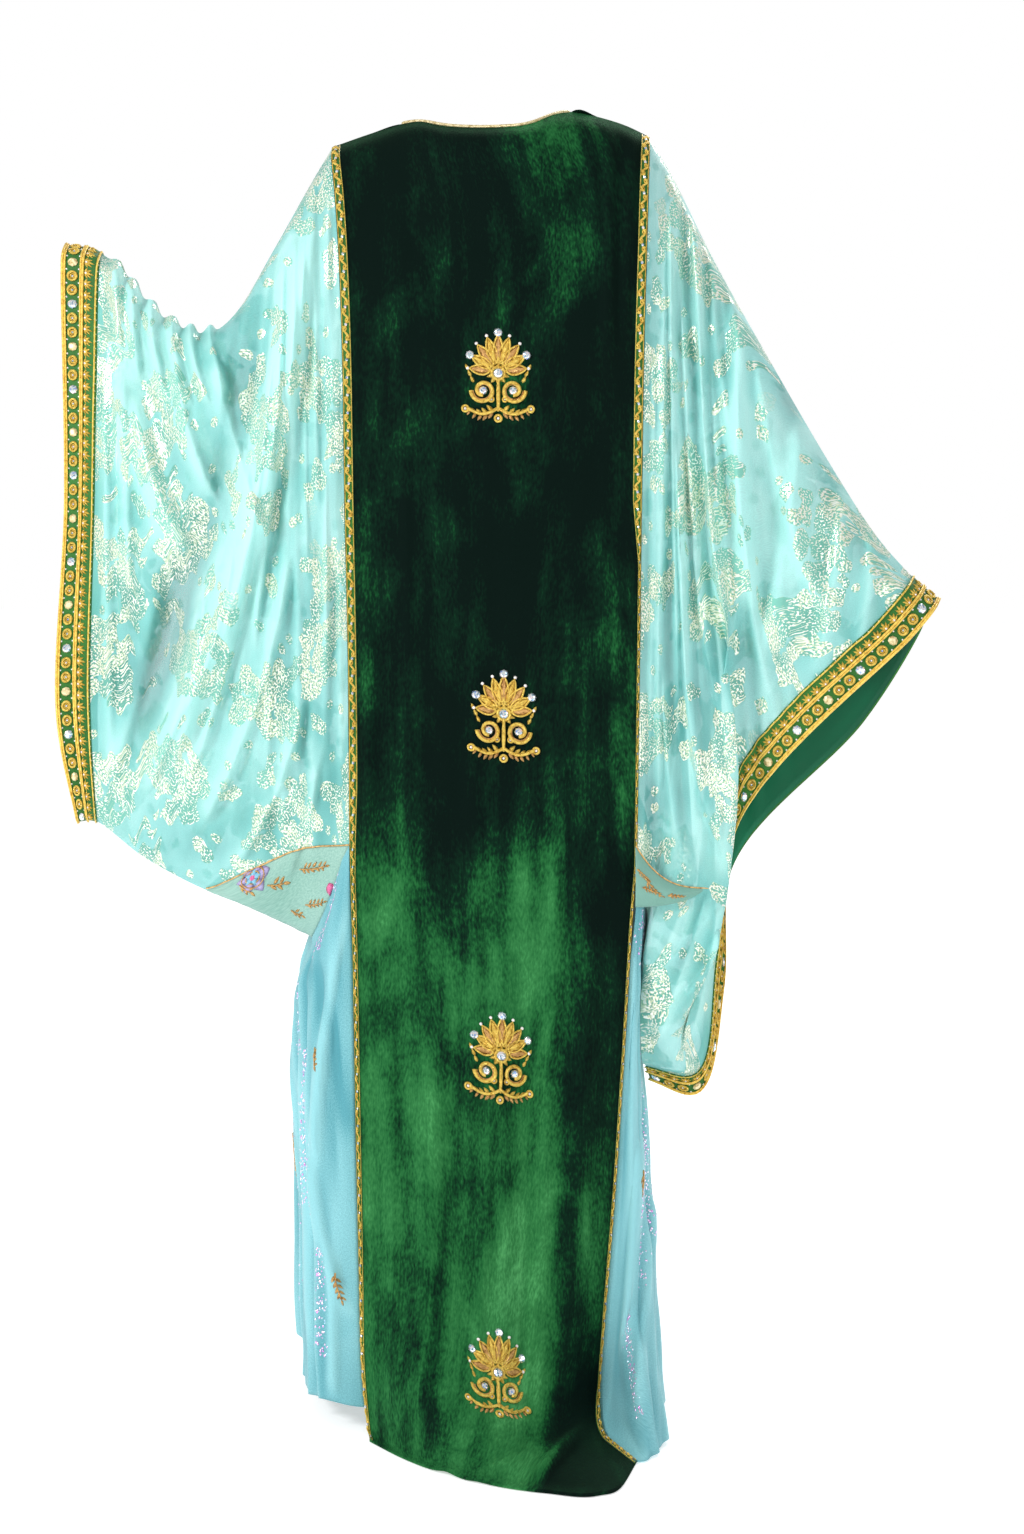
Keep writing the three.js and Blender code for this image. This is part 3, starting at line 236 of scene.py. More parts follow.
class Side:
    """A plain panel that goes round the side from the back edge (0) to the front edge (1)."""

    def __init__(self, back, front, sign, underarm, outline, hem_z, hem_back_z, reach, folds):
        self.back, self.front, self.sign = back, front, sign
        self.outline = table("down x", outline)
        self.hem_z, self.hem_back_z, self.reach = hem_z, hem_back_z, reach
        self.folds = table(PANEL_FOLD, folds)
        low = np.array(underarm, float)
        top_back, top_front = back.at(1.0), front.at(1.0)
        back_mid = mix(top_back, low, np.array([0.62, 0.42, 0.66]))
        front_mid = mix(top_front, low, np.array([0.66, 0.42, 0.6]))
        self.seam_back = Curve([top_back, back_mid, low])
        self.seam_front = Curve([top_front, front_mid, low])

    def underarm(self, around):
        in_back = (around <= 0.5)[..., None]
        return np.where(in_back, self.seam_back.at(around * 2), self.seam_front.at((1 - around) * 2))

    def ripples(self, around, down):
        """Soft upright folds of the hanging panel."""
        wander = 0.03 * np.sin(down * 5 + self.sign)
        broad = np.sin((around + wander) * 2 * math.pi * BROAD_RIPPLES)
        narrow = np.sin((around - 2 * wander) * 2 * math.pi * NARROW_RIPPLES)
        uneven = 0.65 + 0.5 * np.sin(around * 21 + self.sign) * np.cos(down * 4)
        return RIPPLE_HEIGHT * (broad + 0.6 * narrow) * uneven * smooth(down / 0.2) * within(around, 12)

    def point(self, around, down):
        top = self.underarm(around)
        back, front = self.back.at(1 + down), self.front.at(1 + down)
        swell = np.sin(np.pi * np.clip(around, 0, 1)) ** SIDE_FULLNESS
        outline = look_up(self.outline, "down", down, "x")
        x = mix(mix(back[..., 0], front[..., 0], around), outline, swell)
        y = mix(back[..., 1], front[..., 1], (1 - np.cos(np.pi * around)) / 2)
        # the top follows the underarm seam, and the panel's own outline takes over below it
        settle = smooth(down / 0.16)
        x, y = mix(top[..., 0], x, settle), mix(top[..., 1], y, settle)
        x = x + self.sign * self.ripples(around, down)
        hem_back = mix(self.hem_back_z, self.hem_z, smooth(around * 2.6))
        hem_front = mix(self.hem_z, self.front.at(2.0)[2], smooth((around - 0.5) * 2))
        # heights run evenly down to the hem, and match the velvet's beside each seam
        z = mix(top[..., 2], np.where(around < 0.5, hem_back, hem_front), down / self.reach)
        z = mix(z, back[..., 2], 1 - smooth(around * 6))
        z = mix(z, front[..., 2], 1 - smooth((1 - around) * 6))
        for centre, width, start, end, height, lean in zip(*self.folds.values()):
            along = (down - start) / (end - start)
            strength = smooth(along * 3) * bell((around - centre - lean * along) / width)
            x = x + self.sign * height * strength * (along > 0) * (along <= 1.2) * within(around, 20)
        return np.stack([x, y, np.maximum(z, FLOOR_Z + CREPE_THICK)], -1)


SIDE_LEFT = Side(
    BACK_LEFT, FRONT_LEFT, 1, (207, 34, -870),
    [(0, 207), (0.06, 223), (0.2, 226), (0.4, 223), (0.6, 218), (0.8, 219), (1, 216)],
    -1368, -1352, LAST_SIDE_PLACE,
    [(0.2, 0.06, 0.15, 1, 9, -0.1), (0.42, 0.07, 0.1, 0.75, 10, 0.16), (0.7, 0.06, 0.3, 1, 8, -0.04),
     (0.1, 0.022, 0.1, 1, 4, 0.03), (0.31, 0.02, 0.25, 1, 4, -0.05), (0.56, 0.025, 0.2, 1, 5, 0.02),
     (0.85, 0.02, 0.3, 1, 4, 0.0)])
SIDE_RIGHT = Side(
    BACK_RIGHT, FRONT_RIGHT, -1, (-167, 62, -838),
    [(0, -168), (0.07, -165), (0.2, -165), (0.3, -162), (0.42, -168), (0.7, -175), (0.9, -180), (1, -184)],
    -1386, -1390, 1,
    [(0.3, 0.06, 0.55, 1, 6, -0.05), (0.72, 0.06, 0.35, 1, 7, 0.05), (0.14, 0.02, 0.3, 1, 3, 0.02),
     (0.45, 0.022, 0.4, 1, 4, 0.03), (0.6, 0.02, 0.2, 1, 3, -0.02)])

# ---- sleeves: hanging loops from the armhole to the cuff ----
STATION_COLUMNS = ("along topX topY topZ arm kneeX kneeZ kneeBack kneeFront lowX lowZ lowBack lowFront "
                   "bottomX bottomY bottomZ frontDrop footX footZ footDepth").split()
FOLD_PATH = "fromX fromZ viaX viaZ toX toZ width height sharp"
# a station without a foot stands for one with these three values at its end
NO_FOOT = (0, 0, 0)
LEFT_STATIONS = [
    (0.13, 205, 5, -36, 48, 206, -400, 90, -86, 212, -650, 84, -66, 232, 24, -859, 0),
    (0.28, 245, 8, -106, 46, 247, -440, 76, -76, 254, -660, 64, -52, 280, 14, -839, 0),
    (0.47, 290, -2, -177, 44, 294, -460, 58, -68, 302, -660, 46, -44, 328, 0, -822, 0),
    (0.6, 327, -15, -199, 44, 333, -470, 42, -70, 340, -655, 34, -46, 362, -8, -807, 0),
    (0.76, 381, -52, -177, 42, 388, -440, 12, -86, 396, -640, 12, -58, 405, -20, -784, 0),
    (0.9, 448, -98, -107, 38, 452, -391, -26, -104, 458, -610, -10, -74, 454, -31, -748, 0),
    (1, 494, -120, -96, 36, 487, -385, -38, -114, 497, -625, -16, -80, 479, -40, -748, 0)]
RIGHT_STATIONS = [
    (0.12, -197, 5, -34, 46, -192, -400, 90, -88, -184, -650, 92, -78, -167, 72, -858, 0),
    (0.25, -240, 12, -120, 45, -214, -440, 88, -82, -206, -710, 92, -64, -161, 88, -900, 5),
    (0.42, -300, 18, -226, 44, -240, -500, 84, -66, -226, -770, 88, -42, -159, 90, -948, 12, -188, -938, 16),
    (0.6, -365, 22, -336, 42, -256, -570, 74, -48, -231, -820, 72, -22, -160, 86, -985, 26, -203, -985, 20),
    (0.76, -418, 26, -418, 40, -258, -632, 62, -36, -237, -860, 56, -10, -162, 78, -1004, 36, -215, -1010, 20),
    (0.9, -460, 30, -466, 38, -264, -686, 54, -28, -245, -890, 44, -4, -166, 68, -1010, 47, -222, -1018, 18),
    (1, -491, 30, -494, 36, -269, -740, 50, -26, -253, -930, 40, -2, -173, 58, -1027, 56, -224, -1042, 16)]
# folds as soft ridges (+) and troughs (-) along a bent path; sharp is the outer flank's share of the width
LEFT_FOLDS = table(FOLD_PATH, [
    (180, -30, 178, -240, 174, -480, 7, 6, 0.7), (199, -50, 197, -230, 192, -440, 8, 8, 0.6),
    (220, -70, 219, -280, 220, -520, 10, 8, 0.6), (200, -60, 240, -440, 385, -712, 26, 24, 0.45),
    (405, -262, 392, -380, 332, -450, 24, 17, 0.5), (352, -400, 345, -520, 420, -660, 24, -12, 1),
    (188, -60, 186, -300, 184, -600, 5, 4.5, 0.6), (209, -70, 208, -260, 206, -480, 5, 5, 0.6),
    (232, -90, 228, -300, 270, -560, 10, 10, 0.4), (172, -200, 170, -420, 168, -690, 5, 4, 0.7),
    (240, -180, 262, -520, 350, -710, 10, 10, 0.4), (270, -190, 300, -420, 420, -640, 18, -10, 1),
    (222, -420, 250, -620, 340, -760, 14, 12, 0.4), (417, -240, 413, -360, 410, -490, 11, 11, 0.5),
    (440, -240, 436, -480, 434, -690, 10, 9, 0.6), (310, -225, 290, -330, 244, -430, 16, 12, 0.4),
    (205, -560, 225, -700, 300, -800, 10, 9, 0.5), (190, -640, 205, -740, 240, -810, 8, 6, 0.6),
    (380, -480, 392, -600, 440, -700, 16, 12, 0.5), (320, -470, 330, -600, 400, -720, 12, 9, 0.4),
    (355, -230, 350, -300, 300, -400, 13, 11, 0.4), (288, -420, 296, -540, 360, -640, 11, 8, 0.4)])
LEFT_RUFFLES = table(FOLD_PATH, [
    (430, -60, 426, -160, 420, -225, 9, 13, 0.6), (409, -90, 408, -190, 398, -255, 9, 14, 0.6),
    (388, -125, 386, -210, 364, -275, 9, 14, 0.6), (366, -145, 360, -230, 334, -285, 9, 13, 0.6),
    (346, -155, 338, -230, 314, -280, 8, 12, 0.6), (326, -160, 314, -226, 290, -270, 8, 10, 0.6)])
RIGHT_FOLDS = table(FOLD_PATH, [
    (-184, -50, -182, -260, -180, -520, 6, 5, 0.5), (-190, -40, -187, -270, -198, -579, 7, 9, 0.35),
    (-212, -60, -221, -230, -240, -560, 8, 11, 0.2), (-201, -168, -210, -373, -226, -640, 7, 9, 0.2),
    (-228, -330, -238, -520, -260, -730, 10, 14, 0.15), (-196, -330, -203, -590, -221, -800, 9, 13, 0.15),
    (-262, -160, -262, -330, -262, -540, 20, 16, 0.45),
    (-335, -280, -325, -400, -296, -570, 24, 15, 0.45), (-178, -200, -176, -430, -176, -700, 5, 5, 0.5),
    (-232, -150, -238, -330, -246, -520, 7, 6, 0.5), (-170, -200, -168, -480, -167, -730, 5, 5, 0.5),
    (-182, -560, -184, -680, -200, -790, 7, 7, 0.3), (-234, -620, -242, -710, -241, -795, 7, 9, 0.2),
    (-246, -590, -262, -720, -244, -800, 8, 8, 0.4), (-243, -800, -246, -884, -213, -982, 10, 12, 0.2),
    (-236, -803, -206, -895, -175, -985, 9, 12, 0.2), (-214, -816, -188, -860, -168, -930, 8, 9, 0.25),
    (-236, -802, -218, -850, -200, -900, 7, -8, 1),
    (-285, -210, -300, -400, -372, -530, 16, 11, 0.45), (-245, -230, -270, -480, -315, -650, 12, 10, 0.45),
    (-380, -360, -380, -460, -345, -580, 16, 10, 0.5), (-410, -400, -415, -470, -396, -545, 11, 8, 0.5),
    (-310, -240, -350, -360, -430, -470, 14, -8, 1)])
NO_RUFFLES = table(FOLD_PATH, [(-300, -220, -300, -230, -300, -240, 6, 0, 1)])


# |X| where the gathers of the sheer cloth begin, their width there, and how far they stand out
GATHERS_FROM, GATHER_WIDTH, GATHER_HEIGHT = 152, 17, 2.5
# the front half of a sleeve takes this share of the folds
FRONT_FOLD_SHARE = 0.8
# the cuff takes the sleeve's last tenth, and the other cloth ends where it begins
CUFF_START = 0.9


class Sleeve:
    """A wide sleeve as two halves, each a family of curves from the top of the arm to the bottom fold."""

    def __init__(self, side, stations, gusset_end, folds, ruffles, pleat_out, pleat_back):
        self.side, self.gusset_end, self.folds, self.ruffles = side, gusset_end, folds, ruffles
        self.pleat_out, self.pleat_back = pleat_out, pleat_back
        self.curves, self.edge_share = {}, {}
        for is_back in (True, False):
            edge = (side.back if is_back else side.front).upper
            seam = side.seam_back if is_back else side.seam_front
            share = edge.total / (edge.total + seam.total)
            self.edge_share[is_back] = share
            rows = [dict(zip(STATION_COLUMNS, (*station, *NO_FOOT))) for station in stations]
            self.curves[is_back] = [(0.0, armhole(edge, seam, share))]
            self.curves[is_back] += [(row["along"], station_curve(row, is_back).at) for row in rows]

    def point(self, is_back, along, fraction):
        """Points for columns at along, with one row of fractions per row of the result."""
        curves = self.curves[is_back]
        point = np.empty(fraction.shape + (3,))
        for j, place in enumerate(along):
            k = 1
            while k < len(curves) - 1 and place > curves[k][0]:
                k += 1
            f = fraction[:, j]
            (start, first), (end, second) = curves[k - 1], curves[k]
            span = end - start
            p1, p2 = first(f), second(f)
            slope1 = slope2 = (p2 - p1) / span
            if k > 1:
                slope1 = (p2 - curves[k - 2][1](f)) / (end - curves[k - 2][0])
            if k < len(curves) - 1:
                slope2 = (curves[k + 1][1](f) - p1) / (curves[k + 1][0] - start)
            t = np.clip((place - start) / span, 0, 1)
            point[:, j] = hermite(p1, p2, slope1 * span, slope2 * span, t)
        along = np.broadcast_to(along, fraction.shape)
        # folds die away at the velvet, at the cuff and at the bottom fold
        clear = smooth(along / 0.05) * smooth((1.02 - along) / 0.16) * smooth((1 - fraction) / 0.12)
        x, z = point[..., 0], point[..., 2]
        ruffle = fold_offsets(self.ruffles, x, z)
        push = (fold_offsets(self.folds, x, z) + self.pleats(x, z)) * smooth(fraction / 0.06) + ruffle
        point[..., 1] += clear * (push if is_back else -FRONT_FOLD_SHARE * push)
        # the ruffles also lift the ridge of the arm
        point[..., 2] += clear * ruffle * (1 - smooth(fraction / 0.07)) * 0.9
        # two pleats that widen towards the bottom, on the back half alone
        grow = smooth((-400 - z) / 300) * smooth((1 - fraction) / 0.15) * (1.0 if is_back else 0.0)
        outward = self.side.sign
        point[..., 0] += outward * grow * self.pleat_out * bell((along - 0.4) / 0.11)
        point[..., 0] -= outward * grow * self.pleat_back * bell((along - 0.62) / 0.1)
        return point

    def pleats(self, x, z):
        """Fine gathers beside the velvet, spreading and dying away as they fall."""
        out = np.abs(x) - GATHERS_FROM
        drop = np.maximum(-z, 0)
        fan = out / (1 + drop / 900)
        wander = 6 * np.sin(drop / 190 + self.side.sign) + 2 * np.sin(drop / 83 + out / 40)
        broad = np.sin((fan + wander) * 2 * math.pi / GATHER_WIDTH)
        narrow = np.sin((fan * 1.7 - wander) * 2 * math.pi / GATHER_WIDTH)
        uneven = 0.7 + 0.5 * np.sin(out / 23 + 2 * self.side.sign) * np.cos(drop / 240)
        reach = smooth((150 + 0.12 * drop - out) / 110) * smooth((900 - drop) / 260)
        return GATHER_HEIGHT * (broad + 0.5 * narrow) * uneven * reach

    def fold_depth(self, points):
        """How far each point stands out on a fold, in millimetres, with the fine gathers counted 1.4 times;
        the sheer's colour is painted lighter and darker by it as painted light and shade.
        """
        x, z = points[..., 0], points[..., 2]
        return fold_offsets(self.folds, x, z) + 1.4 * self.pleats(x, z) + fold_offsets(self.ruffles, x, z)

    def gusset_edge(self, is_back, along):
        edge = mix(self.edge_share[is_back], 0.994, along / self.gusset_end)
        return np.where(along > self.gusset_end + 1e-6, 1.0, edge)


def armhole(edge, seam, share):
    """The first station: the velvet edge, then the underarm seam."""
    def at(f):
        return np.where((f <= share)[:, None], edge.at(f / share), seam.at((f - share) / (1 - share)))
    return at


# how far the two halves part just above the bottom fold, in mm
BOTTOM_TUCK = 9


def station_curve(row, is_back):
    """One half of a sleeve station, from the top of the arm down to the bottom fold."""
    sign = 1 if is_back else -1
    drop = 0 if is_back else row["frontDrop"]
    knee_y = row["kneeBack"] if is_back else row["kneeFront"]
    low_y = row["lowBack"] if is_back else row["lowFront"]
    knee_z, low_z = row["kneeZ"] - drop, row["lowZ"] - drop * 0.4
    shift = (row["kneeX"] - row["topX"]) / (row["topZ"] - knee_z)
    arm, tuck = row["arm"], BOTTOM_TUCK
    side_x = row["topX"] + shift * arm * (0.6 if drop > 0 else 1)
    if row["footZ"]:
        foot = (row["footX"], mix(row["bottomY"], low_y, 0.4) + sign * row["footDepth"] / 2, row["footZ"])
    else:
        foot = (mix(row["bottomX"], row["lowX"], 0.03), row["bottomY"] + sign * tuck,
                row["bottomZ"] + tuck * 1.3)
    top = (row["topX"], row["topY"], row["topZ"])
    points = [top, (top[0] + shift * arm * 0.3, top[1] + sign * arm * 0.7, top[2] - arm * 0.3),
              (side_x, top[1] + sign * arm, top[2] - arm)]
    if drop > 0:
        points.append((mix(side_x, row["kneeX"], 0.3), mix(top[1] - arm, knee_y, 0.3),
                       mix(top[2] - arm, knee_z, 0.3) - drop * 0.4))
    points += [(row["kneeX"], knee_y, knee_z), (row["lowX"], low_y, low_z), foot,
               (row["bottomX"], row["bottomY"], row["bottomZ"])]
    return Curve(points)


def fold_offsets(folds, x, z):
    """Sum of soft ridges and troughs, each along a bent path in (x, z)."""
    out = np.zeros(np.shape(x))
    t = np.linspace(0, 1, 17)
    for from_x, from_z, via_x, via_z, to_x, to_z, width, height, sharp in zip(*folds.values()):
        bx = (1 - t) ** 2 * from_x + 2 * t * (1 - t) * via_x + t * t * to_x
        bz = (1 - t) ** 2 * from_z + 2 * t * (1 - t) * via_z + t * t * to_z
        near = (x > bx.min() - 3 * width) & (x < bx.max() + 3 * width)
        px, pz = x[near][:, None], z[near][:, None]
        if not px.size:
            continue
        step_x, step_z = np.diff(bx), np.diff(bz)
        run = np.clip(((px - bx[:-1]) * step_x + (pz - bz[:-1]) * step_z) / (step_x ** 2 + step_z ** 2), 0, 1)
        away_x, away_z = px - bx[:-1] - run * step_x, pz - bz[:-1] - run * step_z
        distance = away_x ** 2 + away_z ** 2
        best = distance.argmin(1)
        pick = (np.arange(len(best)), best)
        place = (best + run[pick]) / len(step_x)
        turned = (step_x[best] * away_z[pick] - step_z[best] * away_x[pick]) * np.sign(to_x)
        outer = smooth(turned / np.hypot(step_x[best], step_z[best]) / (0.3 * width) + 0.5)
        flank = width * mix(sharp, 1.0, outer)
        strength = bell(np.sqrt(distance[pick]) / flank)
        out[near] += height * strength * smooth(place * 6 + 0.15) * smooth((1 - place) * 5 + 0.1)
    return out


SLEEVES = {
    "left": Sleeve(SIDE_LEFT, LEFT_STATIONS, 0.47, LEFT_FOLDS, LEFT_RUFFLES, 0, 0),
    "right": Sleeve(SIDE_RIGHT, RIGHT_STATIONS, 0.25, RIGHT_FOLDS, NO_RUFFLES, 35, 12),
}


# ---- a piece of cloth as a grid of points, with its flat measures ----
def ripple(u, v, stretch_u, stretch_v, seed):
    """Soft unevenness, about -1 to 1, over a sheet measured in millimetres."""
    chance = np.random.default_rng(seed)
    total = np.zeros(np.shape(u))
    for octave in range(9):
        angle, phase = chance.uniform(0, 2 * math.pi, 2)
        size = chance.uniform(0.7, 1.5) * (1.0 + 0.5 * (octave % 3))
        wave = u * math.cos(angle) * size / stretch_u + v * math.sin(angle) * size / stretch_v
        total = total + np.sin(wave * 2 * math.pi + phase) / size
    return total / 4.5


# distance out from the dress's middle, and the woven width that is gathered up to there, in mm
CROWDING = ((150, 175, 215, 270, 600), (0, 42, 96, 156, 486))
# a cut that fills less than this share of its width and length is pointed
POINTED_SHARE = 0.35


class Cloth:
    """A grid of points in mm, rows running down and columns across."""

    def __init__(self, points, outward, closed=False):
        self.closed = closed
        self.points = points
        self.fold = np.zeros(points.shape[:2])
        self.refresh(outward)

    def refresh(self, outward):
        self.outward = outward
        p = self.points
        if self.closed:
            down = np.gradient(np.concatenate([p[-1:], p, p[:1]]), axis=0)[1:-1]
        else:
            down = np.gradient(p, axis=0)
        self.normals = unit(np.cross(np.gradient(p, axis=1), down) * outward)
        step_across = np.linalg.norm(np.diff(self.points, axis=1), axis=-1)
        step_down = np.linalg.norm(np.diff(self.points, axis=0), axis=-1)
        self.across = np.pad(np.cumsum(step_across, axis=1), ((0, 0), (1, 0)))
        self.down = np.pad(np.cumsum(step_down, axis=0), ((1, 0), (0, 0)))

    def unevenness(self, amount, stretch_u, stretch_v, seed):
        """Moves the cloth softly in and out, and leaves its edges where they are."""
        rows, columns = self.points.shape[:2]
        i, j = np.linspace(0, 1, rows)[:, None], np.linspace(0, 1, columns)[None]
        edges = within(j, 14)
        if not self.closed:
            edges = edges * within(i, 14)
        wave = ripple(self.across, self.down, stretch_u, stretch_v, seed) * edges * amount
        self.points = self.points + self.normals * wave[..., None]
        self.refresh(self.outward)
        return self

    def moved(self, distance):
        return Cloth(self.points + self.normals * distance, self.outward, self.closed)

    def lift(self, a, b, height, share=False, column=None):
        """Points on the cloth: a across in mm from a column, or as a share; b down that column."""
        rows, columns = self.points.shape[:2]
        column = columns // 2 if column is None else column
        i = np.interp(b, self.down[:, column], np.arange(rows))
        i0 = np.clip(i.astype(int), 0, rows - 2)
        fi = (i - i0)[:, None]
        if share:
            j = np.clip(a, 0, 1) * (columns - 1)
        else:
            lengths = mix(self.across[i0], self.across[i0 + 1], fi)
            wanted = a + lengths[:, column]
            j = np.clip((lengths < wanted[:, None]).sum(1) - 1, 0, columns - 2)
            low = np.take_along_axis(lengths, j[:, None], 1)[:, 0]
            high = np.take_along_axis(lengths, j[:, None] + 1, 1)[:, 0]
            j = j + np.clip((wanted - low) / (high - low), 0, 1)
        j0 = np.clip(j.astype(int), 0, columns - 2)
        fj = (j - j0)[:, None]

        def sample(values):
            near = mix(values[i0, j0], values[i0, j0 + 1], fj)
            return mix(near, mix(values[i0 + 1, j0], values[i0 + 1, j0 + 1], fj), fi)
        return sample(self.points) + sample(self.normals) * np.asarray(height)[:, None]

    def woven_place(self, shift):
        """Place in the weave, in metres: across from the velvet, and down from the shoulder."""
        p = self.points
        step_across = np.linalg.norm(np.diff(p[..., :2], axis=1), axis=-1)
        step_down = np.linalg.norm(np.diff(p[..., 1:], axis=0), axis=-1)
        across = np.pad(np.cumsum(step_across, axis=1), ((0, 0), (1, 0))) + np.abs(p[:, :1, 0])
        down = np.pad(np.cumsum(step_down, axis=0), ((1, 0), (0, 0))) - p[:1, :, 2]
        crowded = np.interp(across, *CROWDING)
        return np.stack([crowded + shift, down + shift * 0.37], -1).reshape(-1, 2) * MM

    def flat_size(self):
        """Width, length and area of the cut, in metres and square metres."""
        p = self.points
        diagonal = np.cross(p[1:, 1:] - p[:-1, :-1], p[1:, :-1] - p[:-1, 1:])
        area = np.linalg.norm(diagonal, axis=-1).sum() / 2 * 1e-6
        width, length = self.across[:, -1].mean() * MM, self.down[-1].max() * MM
        if area < POINTED_SHARE * width * length:
            # a cut that comes to a long point is stated by its mean length
            length = self.down[-1].mean() * MM
        return (round(width, 3), round(length, 3)), round(min(area, width * length), 4)


def build_object(name, vertices, faces, material, places=None, fold=None, faceted=False):
    """An object from points in mm; places are its points' places on the flat cloth or thread."""
    mesh = bpy.data.meshes.new(name)
    mesh.from_pydata((np.asarray(vertices) * MM).tolist(), [], faces)
    if places is not None:
        layer = mesh.uv_layers.new(name="cloth")
        corners = np.zeros(len(mesh.loops), int)
        mesh.loops.foreach_get("vertex_index", corners)
        layer.data.foreach_set("uv", np.asarray(places, np.float32)[corners].ravel())
    if fold is not None:
        mesh.attributes.new("fold", "FLOAT", "POINT").data.foreach_set("value", np.asarray(fold, np.float32))
    mesh.polygons.foreach_set("use_smooth", [not faceted] * len(mesh.polygons))
    mesh.materials.append(material)
    mesh.update()
    piece = bpy.data.objects.new(name, mesh)
    bpy.context.scene.collection.objects.link(piece)
    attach(piece, "root")
    return piece


def sheet_object(name, cloth, material, thickness=0.0, flat=None):
    """A single skin where thickness is 0, and a closed wall otherwise."""
    rows, columns = cloth.points.shape[:2]
    at = np.arange(rows * columns).reshape(rows, columns)
    if cloth.closed:
        at = np.vstack([at, at[:1]])
    front = np.stack([at[:-1, :-1], at[1:, :-1], at[1:, 1:], at[:-1, 1:]], -1).reshape(-1, 4)
    if cloth.outward > 0:
        front = front[:, ::-1]
    if flat is None:
        flat = np.stack([cloth.across, cloth.down], -1).reshape(-1, 2) * MM
    fold = cloth.fold.ravel()
    if not thickness:
        return build_object(name, cloth.points.reshape(-1, 3), front.tolist(), material, flat, fold)
    offset = cloth.normals * thickness / 2
    vertices = np.vstack([(cloth.points + offset).reshape(-1, 3), (cloth.points - offset).reshape(-1, 3)])
    count = rows * columns
    rims = [np.stack([at[:-1, 0], at[1:, 0]], -1), np.stack([at[1:, -1], at[:-1, -1]], -1)]
    if not cloth.closed:
        rims += [np.stack([at[0, 1:], at[0, :-1]], -1), np.stack([at[-1, :-1], at[-1, 1:]], -1)]
    rim = np.vstack(rims) if cloth.outward > 0 else np.vstack(rims)[:, ::-1]
    faces = np.vstack([front, front[:, ::-1] + count, np.hstack([rim, rim[:, ::-1] + count])])
    return build_object(name, vertices, faces.tolist(), material, np.vstack([flat, flat]), np.r_[fold, fold])


# ---- embroidery: shapes worked out flat as (a, b, height), then laid on a cloth ----
class Work:
    """Many small shapes that end as one piece."""

    def __init__(self):
        self.vertices, self.faces, self.threads = [], [], []
        self.count = 0

    def add(self, vertices, faces, threads=None):
        self.vertices.append(vertices)
        self.faces += [[corner + self.count for corner in face] for face in faces]
        self.threads.append(np.zeros((len(vertices), 2)) if threads is None else threads)
        self.count += len(vertices)

    def stamp(self, cloth, shape, places, turn=0.0, size=1.0, base=0.0, column=None, share=False,
              scale_a=1.0):
        """Lays a shape on the cloth at each (a, b), turned and sized."""
        flat, faces, threads = shape
        places = np.atleast_2d(np.asarray(places, float))
        turns = np.broadcast_to(turn, len(places))
        sizes = np.broadcast_to(size, len(places))
        cos, sin = np.cos(turns) * sizes, np.sin(turns) * sizes
        x, y, h = flat[:, 0], flat[:, 1], flat[:, 2]
        a = places[:, :1] + (x * cos[:, None] - y * sin[:, None]) * scale_a
        b = places[:, 1:2] + x * sin[:, None] + y * cos[:, None]
        heights = h * sizes[:, None] + base
        world = cloth.lift(a.ravel(), b.ravel(), heights.ravel(), share, column)
        for k in range(len(places)):
            part = slice(k * len(flat), (k + 1) * len(flat))
            self.add(world[part], faces, threads)

    def finish(self, name, material, slot, faceted=False):
        threads = np.vstack(self.threads)
        piece = build_object(name, np.vstack(self.vertices), self.faces, material, threads, faceted=faceted)
        return piece


def tube_faces(count, sides, closed=False, ends=True):
    """Quads between rings of points, and a flat face at each end of an open tube."""
    faces = []
    for i in range(count if closed else count - 1):
        k = (i + 1) % count
        for s in range(sides):
            n = (s + 1) % sides
            faces.append([i * sides + s, i * sides + n, k * sides + n, k * sides + s])
    if ends and not closed:
        faces += [[*range(sides)][::-1], [(count - 1) * sides + s for s in range(sides)]]
    return faces


def ring_angles(sides):
    return 2 * np.pi * np.arange(sides) / sides


def thread_shape(path, radius, sides=6, closed=False, taper=False, lift=None):
    """A round cord along a flat path; it rests on the cloth. Threads are (length, way round) in mm."""
    path = np.asarray(path, float)
    count = len(path)
    step = np.gradient(path, axis=0)
    if closed:
        step = np.roll(path, -1, 0) - np.roll(path, 1, 0)
    step = unit(step)
    across = np.stack([-step[:, 1], step[:, 0]], -1)
    width = np.full(count, float(radius))
    if taper:
        width *= 0.25 + 0.75 * np.sin(np.pi * np.linspace(0.04, 0.96, count)) ** 0.6
    angle = ring_angles(sides)
    side = across[:, None] * (width[:, None] * np.cos(angle))[..., None] + path[:, None]
    height = width[:, None] * np.sin(angle) + (radius if lift is None else lift)
    flat = np.concatenate([side, height[..., None]], -1).reshape(-1, 3)
    length = lengths_along(path)[:, None]
    threads = np.stack(np.broadcast_arrays(length, angle * radius), -1).reshape(-1, 2)
    return flat, tube_faces(count, sides, closed), threads


def ring_shape(radius, thick, long=1.0, sides=14):
    angle = ring_angles(sides)
    path = np.stack([radius * np.cos(angle), radius * long * np.sin(angle)], -1)
    return thread_shape(path, thick, closed=True)


